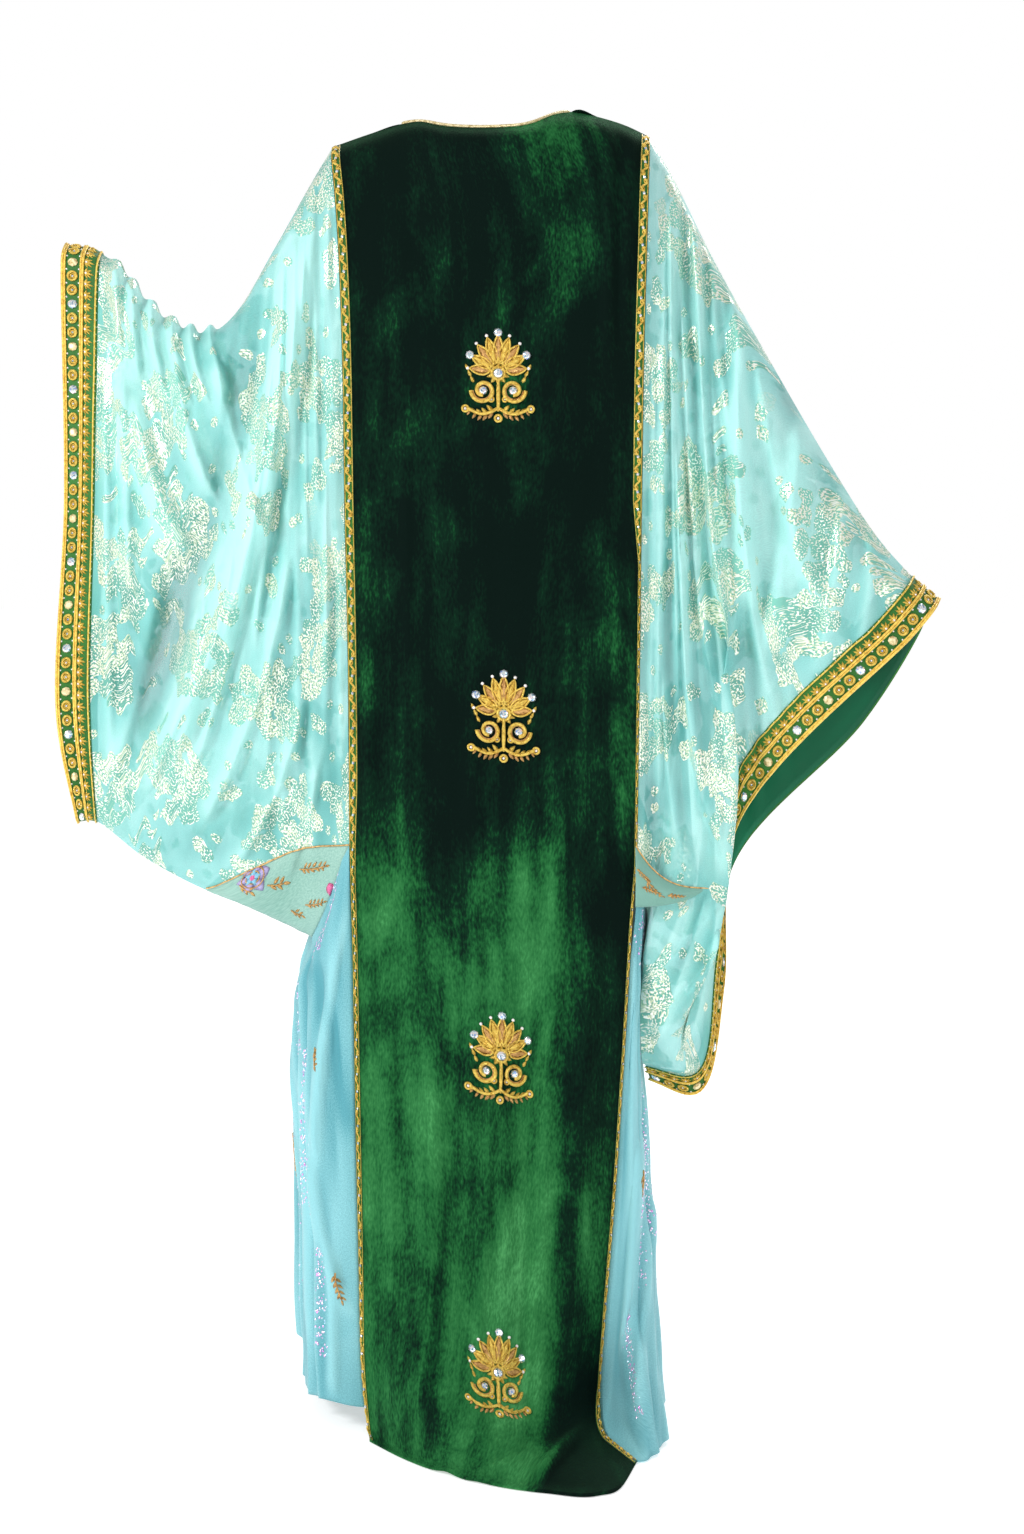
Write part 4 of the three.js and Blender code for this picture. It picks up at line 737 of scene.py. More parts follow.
def dome_shape(radius, height, sides=10, bands=3):
    """A bead or sequin, closed underneath."""
    rises = [k / bands * math.pi / 2 for k in range(bands)]
    rings = [(math.cos(rise) * radius, math.sin(rise) * height) for rise in rises]
    flat = [(r * math.cos(a), r * math.sin(a), h) for r, h in rings for a in ring_angles(sides)]
    flat += [(0, 0, height), (0, 0, -0.2)]
    faces = tube_faces(bands, sides, ends=False)
    top, low, last = len(flat) - 2, len(flat) - 1, (bands - 1) * sides
    faces += [[last + s, last + (s + 1) % sides, top] for s in range(sides)]
    faces += [[(s + 1) % sides, s, low] for s in range(sides)]
    return np.array(flat, float), faces, np.zeros((len(flat), 2))


def crystal_shape(radius, height, sides=8):
    """A cut stone: girdle, crown facets and table."""
    half = math.pi / sides
    # each ring: its radius, its turn and its height
    rings = ((radius, 0, height * 0.25), (radius * 0.78, half, height * 0.72),
             (radius * 0.46, 0, height), (radius * 0.9, 0, -0.1))
    flat = [(r * math.cos(a + turn), r * math.sin(a + turn), h)
            for r, turn, h in rings for a in ring_angles(sides)]
    faces = [[2 * sides + s for s in range(sides)], [3 * sides + s for s in range(sides)][::-1]]
    for s in range(sides):
        n, p = (s + 1) % sides, (s - 1) % sides
        faces += [[s, n, sides + s], [sides + p, s, sides + s]]
        faces += [[sides + p, sides + s, 2 * sides + s], [sides + s, 2 * sides + n, 2 * sides + s]]
        faces += [[3 * sides + s, 3 * sides + n, n, s]]
    return np.array(flat, float), faces, np.zeros((len(flat), 2))


def leaf_shape(length, width, height, steps=5):
    """A padded leaf from its stalk at the origin along +b, with a raised midrib."""
    flat, threads = [(0, 0, 0.2)], [(0, 0)]
    for k in range(1, steps):
        t = k / steps
        spread = width / 2 * math.sin(math.pi * t ** 0.8) ** 0.8
        rise = height * math.sin(math.pi * t) ** 0.6
        up = length * t
        flat += [(-spread, up, 0.1), (0, up, rise), (spread, up, 0.1), (0, up, -0.2)]
        threads += [(up + spread, 0), (up, 0), (up + spread, 0), (up, 0)]
    flat.append((0, length, 0.2))
    threads.append((length, 0))
    tip = len(flat) - 1
    faces = []
    for s in range(4):
        n = (s + 1) % 4
        faces.append([0, 1 + s, 1 + n])
        for k in range(steps - 2):
            low, high = 1 + 4 * k, 5 + 4 * k
            faces.append([low + s, high + s, high + n, low + n])
        faces.append([1 + 4 * (steps - 2) + n, 1 + 4 * (steps - 2) + s, tip])
    return np.array(flat, float), faces, np.array(threads, float)


def leaf_outline(length, width, steps=9):
    """Both edges of a leaf, up one side from the stalk and down the other."""
    t = np.linspace(0, 1, steps)
    half = width / 2 * np.sin(math.pi * t ** 0.8) ** 0.8
    up = np.stack([half, length * t], -1)
    return np.concatenate([up, (up * [-1, 1])[-2::-1]])


# ---- materials ----
class Look:
    """A material whose colour, roughness and relief come from nodes."""

    def __init__(self, name, **uniform):
        self.material = bpy.data.materials.new(name)
        self.material.use_nodes = True
        self.tree = self.material.node_tree
        self.shader = self.tree.nodes["Principled BSDF"]
        for socket, value in uniform.items():
            self.shader.inputs[socket.replace("_", " ")].default_value = value

    def feed(self, socket, value):
        if isinstance(value, bpy.types.NodeSocket):
            self.tree.links.new(value, socket)
        else:
            socket.default_value = value

    def node(self, kind, inputs=None, **settings):
        made = self.tree.nodes.new(kind)
        for key, value in settings.items():
            setattr(made, key, value)
        for key, value in (inputs or {}).items():
            self.feed(made.inputs[key], value)
        return made

    def cloth(self, across=1.0, down=1.0):
        """Place on the flat cloth in metres, stretched by the two factors."""
        where = self.node("ShaderNodeUVMap", uv_map="cloth").outputs[0]
        return self.vector("MULTIPLY_ADD", where, (across, down, 1))

    def space(self):
        return self.node("ShaderNodeTexCoord").outputs["Object"]

    def noise(self, where, scale, detail=2.0, distortion=0.0):
        inputs = {"Vector": where, "Scale": scale, "Detail": detail, "Distortion": distortion}
        return self.node("ShaderNodeTexNoise", inputs).outputs[0]

    def maths(self, operation, a, b=0.5, c=0.5, clamp=False):
        made = self.node("ShaderNodeMath", {0: a, 1: b, 2: c}, operation=operation, use_clamp=clamp)
        return made.outputs[0]

    def times(self, a, b):
        return self.maths("MULTIPLY", a, b)

    def plus(self, a, b):
        return self.maths("ADD", a, b)

    def minus(self, a, b):
        return self.maths("SUBTRACT", a, b)

    def scaled(self, value, factor, more, clamp=False):
        """value * factor + more."""
        return self.maths("MULTIPLY_ADD", value, factor, more, clamp)

    def vector(self, operation, a, b=(0, 0, 0), c=(0, 0, 0), output="Vector"):
        made = self.node("ShaderNodeVectorMath", {0: a, 1: b, 2: c}, operation=operation)
        return made.outputs[output]

    def parts(self, vector):
        return self.node("ShaderNodeSeparateXYZ", {0: vector}).outputs

    def cells(self, where, scale, randomness, feature="F1"):
        return self.node("ShaderNodeTexVoronoi", {"Vector": where, "Scale": scale, "Randomness": randomness},
                         feature=feature, voronoi_dimensions="2D").outputs

    def fold(self):
        """How far the cloth stands out on a fold, in millimetres."""
        return self.node("ShaderNodeAttribute", attribute_name="fold").outputs["Fac"]

    def between(self, value, low, high, to_low=0.0, to_high=1.0):
        """A smooth step from to_low to to_high as value goes from low to high."""
        return self.node("ShaderNodeMapRange", {0: value, 1: low, 2: high, 3: to_low, 4: to_high},
                         interpolation_type="SMOOTHSTEP").outputs[0]

    def blend(self, factor, a, b):
        return self.node("ShaderNodeMix", {0: factor, 6: a, 7: b}, data_type="RGBA").outputs[2]

    def ramp(self, factor, stops):
        made = self.node("ShaderNodeValToRGB", {0: factor})
        marks = made.color_ramp.elements
        while len(marks) < len(stops):
            marks.new(0.5)
        for mark, (position, colour) in zip(marks, stops):
            mark.position, mark.color = position, colour
        return made.outputs[0]

    def finish(self, colour, roughness=None, alpha=None, metallic=None, relief=None, strength=0.3,
               depth=0.0005):
        fed = {"Base Color": colour, "Roughness": roughness, "Alpha": alpha, "Metallic": metallic}
        for socket, value in fed.items():
            if value is not None:
                self.feed(self.shader.inputs[socket], value)
        if relief is not None:
            bump = self.node("ShaderNodeBump", {"Height": relief, "Strength": strength, "Distance": depth})
            self.feed(self.shader.inputs["Normal"], bump.outputs["Normal"])
        return self.material


def rgb(r, g, b):
    return (r, g, b, 1.0)


# the pile's lightness before any of its patches, streaks and folds is added
NAP_BASE = -0.117


def velvet_material(name, brighter_from, shaded_from):
    """Silk velvet: a dark pile, with painted light making it lighter below brighter_from and a band of painted
    shade past shaded_from.
    """
    look = Look(name, Sheen_Weight=0.16, Sheen_Roughness=0.3, Sheen_Tint=rgb(0.2, 0.9, 0.35),
                Specular_IOR_Level=0.06)
    patches = look.noise(look.cloth(6.5, 2.4), 1.0, 5, 0.8)
    streaks = look.noise(look.cloth(60, 5.0), 1.0, 4, 0.3)
    blots = look.noise(look.cloth(26, 13), 1.0, 4, 0.5)
    crushed = look.noise(look.cloth(420, 150), 1.0, 4)
    place = look.parts(look.cloth())
    across, down = place[0], place[1]
    uneven = look.scaled(look.noise(look.cloth(9, 1.5), 1.0, 2), 0.5, -0.25)
    # painted light: the pile below brighter_from is painted lighter, with an uneven edge
    lower = look.between(look.plus(down, uneven), brighter_from - 0.05, brighter_from + 0.13)
    # painted shade: a band of the lower pile past shaded_from is painted darker, where the panel curves away
    # from the light
    band = look.between(look.scaled(uneven, 0.12, across), shaded_from, shaded_from + 0.03)
    band = look.times(band, look.between(down, brighter_from, brighter_from + 0.1))
    # the fold term paints light on the train's raised creases
    weights = ((patches, 0.52), (streaks, 0.18), (blots, 0.26), (crushed, 0.22), (lower, 0.122),
               (band, -0.13), (look.fold(), 0.007))
    nap = NAP_BASE
    for value, weight in weights:
        nap = look.scaled(value, weight, nap)
    colour = look.ramp(nap, [(0.43, rgb(0.0013, 0.007, 0.005)), (0.505, rgb(0.0020, 0.019, 0.009)),
                             (0.55, rgb(0.0045, 0.055, 0.016)), (0.60, rgb(0.013, 0.118, 0.031)),
                             (0.68, rgb(0.032, 0.195, 0.055)), (0.80, rgb(0.10, 0.42, 0.14))])
    pile = look.noise(look.cloth(), 1500, 1)
    relief = look.plus(look.times(pile, 0.5), crushed)
    roughness = look.between(nap, 0.4, 0.8, 0.9, 0.55)
    return look.finish(colour, roughness, relief=relief, strength=0.35, depth=0.0012)


# repeats of the woven flowers in a metre, and the small rounds across one repeat
FLOWER_REPEAT, CLUSTERS = 8.4, 8.0


def blossoms(look, centres, scale, size, loose, shift):
    """1 inside loose blossoms of radius size about the points of a loose grid, else 0; and their petals."""
    where = look.vector("MULTIPLY_ADD", centres, (scale, scale, scale), (shift, shift * 2, 0))
    found = look.cells(where, 1.0, loose)
    local = look.vector("SUBTRACT", where, found["Position"])
    radius = look.vector("LENGTH", local, output="Value")
    sideways, upwards, _ = look.parts(local)
    angle = look.maths("ARCTAN2", upwards, sideways)
    chance = look.parts(found["Color"])
    turn = look.times(chance[0], 6.28)
    lobes = look.maths("SINE", look.scaled(angle, 3.0, turn))
    long_way = look.maths("SINE", look.scaled(angle, 2.0, turn))
    wander = look.noise(centres, 3.0, 2)
    limit = look.scaled(lobes, size * 0.17, size)
    limit = look.scaled(long_way, size * 0.22, limit)
    limit = look.scaled(wander, size * 0.9, look.minus(limit, size * 0.45))
    limit = look.times(limit, look.between(chance[1], 0.0, 0.3, 0.45, 1.0))
    inside = look.between(look.minus(limit, radius), -0.004 * scale, 0.004 * scale)
    return inside, look.maths("SINE", look.times(radius, 36.0 / scale))


def woven_flowers(look, glint):
    """The green ground of the flowers, and the pale thread that shines in it, each from 0 to 1."""
    place = look.cloth(FLOWER_REPEAT, FLOWER_REPEAT * 0.84)
    lobe = look.cells(place, CLUSTERS, 0.9)
    large, petals = blossoms(look, lobe["Position"], 1.0, 0.375, 0.7, 0.0)
    middle, _ = blossoms(look, lobe["Position"], 1.9, 0.19, 0.95, 5.3)
    rounds = look.between(lobe["Distance"], 0.72, 0.66)
    dots = look.between(look.cells(place, 2.9, 1.0)["Distance"], 0.135, 0.11)
    ground = look.maths("MAXIMUM", look.times(look.maths("MAXIMUM", large, middle), rounds), dots)
    crackle = look.cells(look.cloth(), 300.0, 1.0, "DISTANCE_TO_EDGE")["Distance"]
    zones = look.noise(place, 3.4, 3)
    dense = look.between(look.scaled(petals, 0.05, zones), 0.38, 0.62, 0.0, 0.23)
    grains = look.scaled(glint, -1.5, look.scaled(crackle, 0.8, 0.75))
    return ground, look.times(look.between(look.minus(dense, grains), -0.04, 0.02), ground)


def sheer_material():
    """Aqua chiffon with woven flowers: a green ground and pale gold thread."""
    look = Look("sheer_brocade", Sheen_Weight=0.2, Sheen_Roughness=0.4, Sheen_Tint=rgb(0.8, 1, 1),
                Specular_IOR_Level=0.25)
    # a fine noise for the thread's grain and for its painted glints
    glint = look.noise(look.cloth(), 430, 2)
    ground, shine = woven_flowers(look, glint)
    fold = look.fold()
    # painted light and shade: the colour is painted lighter on the fold ridges and darker in their troughs,
    # over a random tone
    tone = look.scaled(fold, 0.020, look.noise(look.cloth(), 6.0, 3))
    base = look.ramp(tone, [(0.30, rgb(0.13, 0.48, 0.46)), (0.48, rgb(0.26, 0.69, 0.66)),
                            (0.7, rgb(0.46, 0.87, 0.83))])
    darker = look.ramp(tone, [(0.3, rgb(0.09, 0.32, 0.26)), (0.7, rgb(0.21, 0.56, 0.46))])
    # the pale gold thread, with its brightest grains painted near white as painted glints
    thread = look.ramp(glint, [(0.45, rgb(0.42, 0.62, 0.42)), (0.51, rgb(0.84, 0.84, 0.58)),
                               (0.56, rgb(1.0, 1.0, 0.92))])
    colour = look.blend(look.times(shine, 0.93), look.blend(ground, base, darker), thread)
    # folds and flowers let less light through
    sheer = look.between(look.noise(look.cloth(), 900, 1), 0.2, 0.8, 0.60, 0.74)
    alpha = look.scaled(fold, 0.010, look.plus(sheer, look.times(ground, 0.28)), clamp=True)
    roughness = look.between(shine, 0, 1, 0.62, 0.3)
    crinkle = look.noise(look.cloth(220, 60), 1.0, 2)
    relief = look.plus(look.times(crinkle, 0.3), look.times(shine, glint))
    return look.finish(colour, roughness, alpha, look.times(shine, 0.4), relief, 0.5, 0.0006)


def crepe_material(name, dark, light, alpha_low, alpha_high, scale):
    """Plain grained cloth, painted lighter on its fold ridges and darker in their troughs as painted light and
    shade; the alphas let a little light through.
    """
    look = Look(name, Sheen_Weight=0.2, Sheen_Roughness=0.45, Specular_IOR_Level=0.25)
    tone = look.scaled(look.fold(), 0.045, look.noise(look.cloth(1.0, 0.5), 7.0, 2))
    grain = look.noise(look.cloth(), scale, 2)
    shade = look.scaled(grain, 0.35, look.times(tone, 0.7))
    colour = look.ramp(shade, [(0.35, dark), (0.7, light)])
    alpha = look.between(grain, 0.3, 0.7, alpha_low, alpha_high)
    roughness = look.between(grain, 0.2, 0.8, 0.7, 0.5)
    return look.finish(colour, roughness, alpha, relief=grain, strength=0.4, depth=0.0006)


def gold_material(name, dark, light, twist):
    """Metal thread: bright ridges with dark gaps where the twist turns, painted into the colour as painted
    highlight and painted shade, on an uneven tone.
    """
    look = Look(name, Metallic=0.4, Specular_IOR_Level=0.6)
    along, around, _ = look.parts(look.cloth())
    slanted = look.scaled(along, twist, look.times(around, 1.6))
    ridges = look.maths("SINE", slanted)
    uneven = look.noise(look.space(), 260, 2)
    shade = look.scaled(ridges, 0.16, uneven)
    colour = look.ramp(shade, [(0.3, dark), (0.62, light)])
    roughness = look.between(uneven, 0.3, 0.7, 0.26, 0.5)
    relief = look.scaled(ridges, 0.5, uneven)
    return look.finish(colour, roughness, relief=relief, strength=0.6, depth=0.0004)


def crystal_material():
    """Cut glass with a rainbow coating: every facet takes another tint."""
    look = Look("crystal", Metallic=0.75, Roughness=0.06, Specular_IOR_Level=0.9)
    tint = look.noise(look.space(), 330, 0)
    colour = look.ramp(tint, [(0.30, rgb(0.30, 0.42, 0.55)), (0.40, rgb(0.75, 0.93, 1.0)),
                              (0.48, rgb(1.0, 1.0, 1.0)), (0.56, rgb(1.0, 0.72, 0.86)),
                              (0.64, rgb(0.60, 0.95, 0.75)), (0.72, rgb(0.4, 0.5, 0.95))])
    return look.finish(colour)


def plain_material(name, dark, light, roughness, scale):
    """Beads and silk: one colour that varies softly between two tones."""
    look = Look(name)
    tone = look.noise(look.space(), scale, 2)
    colour = look.ramp(tone, [(0.3, dark), (0.7, light)])
    rough = look.between(tone, 0.3, 0.7, roughness * 0.8, roughness * 1.2)
    return look.finish(colour, rough, relief=tone, strength=0.3, depth=0.0004)


def sequin_material():
    """Lilac foil with a few pale and blue ones."""
    look = Look("sequins", Metallic=0.6, Roughness=0.15)
    tint = look.noise(look.space(), 210, 1)
    colour = look.ramp(tint, [(0.32, rgb(0.80, 0.32, 0.80)), (0.46, rgb(0.93, 0.66, 0.98)),
                              (0.58, rgb(1.0, 0.92, 1.0)), (0.7, rgb(0.45, 0.75, 0.95))])
    return look.finish(colour)


def satin_material():
    """Dark green satin whose weave shines along one way."""
    look = Look("facing_satin", Sheen_Weight=0.03, Specular_IOR_Level=0.22, Anisotropic=0.5)
    soft = look.noise(look.cloth(10, 3), 1.0, 2)
    weave = look.noise(look.cloth(700, 90), 1.0, 1)
    # painted light and shade: the colour follows the soft wrinkles, lighter on their crests and darker in
    # their hollows
    colour = look.ramp(soft, [(0.35, rgb(0.0005, 0.06, 0.025)), (0.65, rgb(0.002, 0.21, 0.09))])
    roughness = look.between(weave, 0.3, 0.7, 0.3, 0.45)
    relief = look.scaled(soft, 3.0, look.times(weave, 0.2))
    return look.finish(colour, roughness, relief=relief, strength=0.3, depth=0.002)


VELVET_BACK = velvet_material("velvet_back", 0.76, 0.225)
VELVET_FRONT = velvet_material("velvet_front", 0.76, 0.26)
SHEER = sheer_material()
GUSSET = crepe_material("gusset_crepe", rgb(0.20, 0.41, 0.34), rgb(0.42, 0.64, 0.56), 0.95, 1.0, 420)
TURQUOISE = crepe_material("turquoise_chiffon", rgb(0.10, 0.37, 0.43), rgb(0.30, 0.66, 0.71), 0.84, 0.94, 700)
CUFF_GROUND = crepe_material("cuff_ground", rgb(0.012, 0.085, 0.014), rgb(0.045, 0.22, 0.03), 1.0, 1.0, 900)
SATIN = satin_material()
GOLD = gold_material("gold_zari", rgb(0.66, 0.36, 0.03), rgb(1.0, 0.74, 0.15), 5200)
PALE_GOLD = gold_material("pale_gold", rgb(0.5, 0.36, 0.12), rgb(0.95, 0.82, 0.5), 5200)
COPPER = gold_material("copper_thread", rgb(0.42, 0.19, 0.05), rgb(0.88, 0.52, 0.18), 5200)
CRYSTAL = crystal_material()
PEARL = plain_material("pearl_beads", rgb(0.75, 0.68, 0.66), rgb(0.98, 0.94, 0.92), 0.22, 300)
SEQUIN = sequin_material()
LILAC = plain_material("lilac_silk", rgb(0.30, 0.25, 0.50), rgb(0.55, 0.48, 0.74), 0.5, 700)
BLUE = plain_material("blue_silk", rgb(0.12, 0.38, 0.55), rgb(0.32, 0.62, 0.78), 0.5, 700)
PINK = plain_material("pink_silk", rgb(0.60, 0.05, 0.22), rgb(0.85, 0.22, 0.42), 0.5, 700)


# ---- cloth pieces ----
def spread(start, end, count, power=1.0):
    return mix(start, end, np.linspace(0, 1, count) ** power)


def grid(rows, columns, point):
    return point(*np.broadcast_arrays(columns[None, :], rows[:, None]))


PANEL_ROWS = np.concatenate([spread(0, 1, 130, 1.25), spread(1, 2, 130)[1:]])
PANEL_COLUMNS = np.unique(np.concatenate(
    [spread(0, 1, 74), [NECK_START, NECK_END], spread(0, 0.03, 4), spread(0.97, 1, 4)]))
SLEEVE_ROWS = spread(0, 1, 170, 1.25)
SLEEVE_COLUMNS = 190
CUFF_ROWS, CUFF_COLUMNS = spread(0, 1, 140, 1.15), 9
GUSSET_ROWS, GUSSET_COLUMNS = 30, 60
SIDE_STEPS = 120
FACING_ROWS, FACING_COLUMNS = spread(0, 1, 120, 1.15)[8:-8], 12
# the facing reaches from this share of the sleeve's length to its mouth, and clears the cuff by a gap in mm
FACING_INNER, FACING_GAP = 0.84, 0.5
# the train's cloth lies on the floor below this height
TRAIN_TOP = -1372

pieces_made = {}


def dress_piece(name, cloth, material, node, thickness=0.0, held="hung", place=None):
    piece = sheet_object(name, cloth, material, thickness, place)
    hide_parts(node)
    flat, area = cloth.flat_size()
    pieces_made[name] = (piece, flat, area, held)


TRAIN_CREASES = table(FOLD_PATH, [
    (-104, 110, -96, 230, -40, 372, 9, 11, 0.5), (-60, 250, -20, 330, 30, 350, 16, 4, 0.7),
    (60, 235, 40, 300, 50, 345, 20, 4, 0.7)])
back = Cloth(grid(PANEL_ROWS, PANEL_COLUMNS, back_panel_point), -1).unevenness(1.6, 70, 420, 11)
creased = smooth(PANEL_COLUMNS * 30) * smooth((1 - PANEL_COLUMNS) * 16)
train_creases = smooth((TRAIN_TOP - back.points[..., 2]) / 12) * creased
train_creases *= fold_offsets(TRAIN_CREASES, back.points[..., 0], back.points[..., 1])
back.points[..., 2] += train_creases
back.refresh(-1)
# the fold values paint light on the train's creases in the velvet's colour
back.fold = 2.5 * train_creases
front = Cloth(grid(PANEL_ROWS[::2], PANEL_COLUMNS, front_panel_point), 1).unevenness(1.8, 70, 420, 12)
dress_piece("velvet_back_panel", back, VELVET_BACK, "back_panel", VELVET_THICK)
dress_piece("velvet_front_panel", front, VELVET_FRONT, "front_panel", VELVET_THICK)

# each width of sheer cloth shows another part of the weave; the shifts are in mm
WEAVE_SHIFT = {("left", "back"): 0, ("left", "front"): 640, ("right", "back"): 1310, ("right", "front"): 2070}
SIDE_SWAGS = {
    "left": table(FOLD_PATH, [
        (160, -812, 200, -1010, 196, -1120, 9, 7, 0.35), (200, -1100, 196, -1200, 152, -1275, 10, 7, 0.4),
        (206, -880, 178, -960, 160, -1090, 12, -5, 1), (212, -1000, 215, -1150, 200, -1330, 9, 5, 0.6),
        (176, -1200, 180, -1290, 176, -1360, 9, 5, 0.6)]),
    "right": table(FOLD_PATH, [
        (-148, -850, -150, -1000, -146, -1200, 5, 4, 0.5), (-156, -1080, -150, -1200, -136, -1330, 8, 6, 0.4),
        (-172, -1150, -166, -1260, -150, -1372, 9, 5, 0.5)])}


def sheer_halves(name, sleeve):
    """The two widths of a sleeve, from the velvet edge to the cuff."""
    along = spread(0, CUFF_START, SLEEVE_COLUMNS, 1.3)
    for is_back, half in ((True, "back"), (False, "front")):
        fraction = SLEEVE_ROWS[:, None] * sleeve.gusset_edge(is_back, along)[None, :]
        outward = sleeve.side.sign if is_back else -sleeve.side.sign
        cloth = Cloth(sleeve.point(is_back, along, fraction), outward).unevenness(1.1, 34, 90, 20 + is_back)
        # the fold depths paint light and shade into the sheer's colour
        cloth.fold = sleeve.fold_depth(cloth.points)
        place = cloth.woven_place(WEAVE_SHIFT[name, half])
        node = f"sleeve_{name}_{half}"
        dress_piece(f"sleeve_{name}_{half}_sheer", cloth, SHEER, node, place=place)


def folded_gusset(name, sleeve):
    """The gusset runs down the back, round the bottom fold and up the front."""
    along = spread(0, sleeve.gusset_end, GUSSET_COLUMNS)
    shares = spread(0, 1, GUSSET_ROWS)[:, None]
    halves = []
    for is_back in (True, False):
        edge = sleeve.gusset_edge(is_back, along)[None, :]
        halves.append(sleeve.point(is_back, along, mix(edge, np.ones_like(edge), shares)))
    around = np.concatenate([halves[0], halves[1][::-1][1:]])
    cloth = Cloth(around, sleeve.side.sign).unevenness(0.8, 30, 60, 31)
    node = f"gusset_{name}"
    dress_piece(f"gusset_{name}_crepe", cloth, GUSSET, node, CREPE_THICK, "stretched")
    return cloth


def cuff_band(name, sleeve):
    """The cuff goes up the back from the bottom fold, over the top and down the front."""
    across = spread(CUFF_START, 1, CUFF_COLUMNS)
    rows = CUFF_ROWS[:, None] * np.ones(CUFF_COLUMNS)
    up, over = sleeve.point(True, across, rows)[::-1], sleeve.point(False, across, rows)[1:-1]
    cloth = Cloth(np.concatenate([up, over]), -sleeve.side.sign, closed=True)
    dress_piece(f"cuff_{name}_band", cloth, CUFF_GROUND, f"cuff_{name}", CUFF_THICK)
    return cloth


def side_panel(name, side):
    """A plain side panel with its ripples and the swags of its back."""
    around, down = spread(0, 1, SIDE_STEPS), spread(0, side.reach, SIDE_STEPS)
    cloth = Cloth(grid(down, around, side.point), side.sign).unevenness(1.4, 60, 300, 41)
    swags = fold_offsets(SIDE_SWAGS[name], cloth.points[..., 0], cloth.points[..., 2])
    swags *= smooth((cloth.points[..., 1] - 10) / 60)
    cloth.points += cloth.normals * (swags * smooth(around * 12))[..., None]
    cloth.refresh(side.sign)
    # the ripples and swags paint light and shade into the chiffon's colour
    cloth.fold = 1.6 * side.ripples(around[None, :], down[:, None]) + 1.3 * swags
    dress_piece(f"side_{name}_chiffon", cloth, TURQUOISE, f"side_{name}", CREPE_THICK)
    return cloth


gussets, cuffs, sides = {}, {}, {}
for name, sleeve in SLEEVES.items():
    sheer_halves(name, sleeve)
    gussets[name] = folded_gusset(name, sleeve)
    cuffs[name] = cuff_band(name, sleeve)
    sides[name] = side_panel(name, sleeve.side)


def mouth_facing(sleeve):
    """The facing lines the front half of the right sleeve's mouth."""
    along = spread(FACING_INNER, 0.995, FACING_COLUMNS)
    rows = FACING_ROWS[:, None] * np.ones(FACING_COLUMNS)
    cloth = Cloth(sleeve.point(False, along, rows), -1)
    towards_back = sleeve.point(True, along, rows) - cloth.points
    inward = np.sign((cloth.normals * towards_back).sum())
    cloth = cloth.moved(inward * (CUFF_THICK / 2 + SATIN_THICK / 2 + FACING_GAP))
    dress_piece("facing_right_satin", cloth, SATIN, "facing_right", SATIN_THICK)


mouth_facing(SLEEVES["right"])

# ---- gold braid on the back panel's two edges ----
BRAID_WIDTH, BRAID_THICK, BRAID_PITCH = 10.0, 0.9, 19.0
BRAID_ROWS, BRAID_COLUMNS = 300, 5
# the strip's distance from the velvet's edge in mm, and the share of the panel used to measure a mm
BRAID_INSET, MEASURED_SHARE = 0.5, 0.02
# drop below the shoulder line, and the share of the braid that faces outwards there
BRAID_DROP = {"left": (0, 690, 790, 1500), "right": (0, 380, 450, 1350, 1384, 1500)}
BRAID_SHOWN = {"left": (1, 1, 0.6, 0.6), "right": (1, 1, 0.3, 0.3, 1, 1)}
scroll_angle, curl_angle = np.linspace(-1.0, 1.0, 25), np.linspace(0, 5.2, 14)
scroll = np.stack([2.9 * np.sin(scroll_angle * math.pi * 1.02), 7.6 * scroll_angle], -1)
curl = 2.3 * np.stack([np.cos(curl_angle), np.sin(curl_angle)], -1)
SCROLL, CURL = thread_shape(scroll, 1.25, lift=1.2), thread_shape(curl, 0.8)
# shape, place down from a knot, place sideways from the middle, turn
BRAID_KNOT = ((SCROLL, 0, 0.0, 0.0), (CURL, 5.0, 2.0, 0.6), (CURL, -5.0, -2.0, 3.7))
SMALL_STONE = crystal_shape(2.2, 1.9, 6)
SEED_BEAD = dome_shape(0.85, 0.9, 6, 2)
braid_gold, braid_stones = Work(), Work()


def row_of(share, where):
    """Places in one row: the same share across, and each place down."""
    return np.stack([np.full(len(where), share), where], -1)


def long_cord(work, cloth, share, down, radius, width, base, per_mm=1.0):
    """A cord down a cloth at one share of its width."""
    flat, faces, threads = thread_shape(row_of(share * width, down), radius)
    flat[:, 0] /= width
    work.add(cloth.lift(flat[:, 0], flat[:, 1], flat[:, 2] + base, True), faces, threads * per_mm)


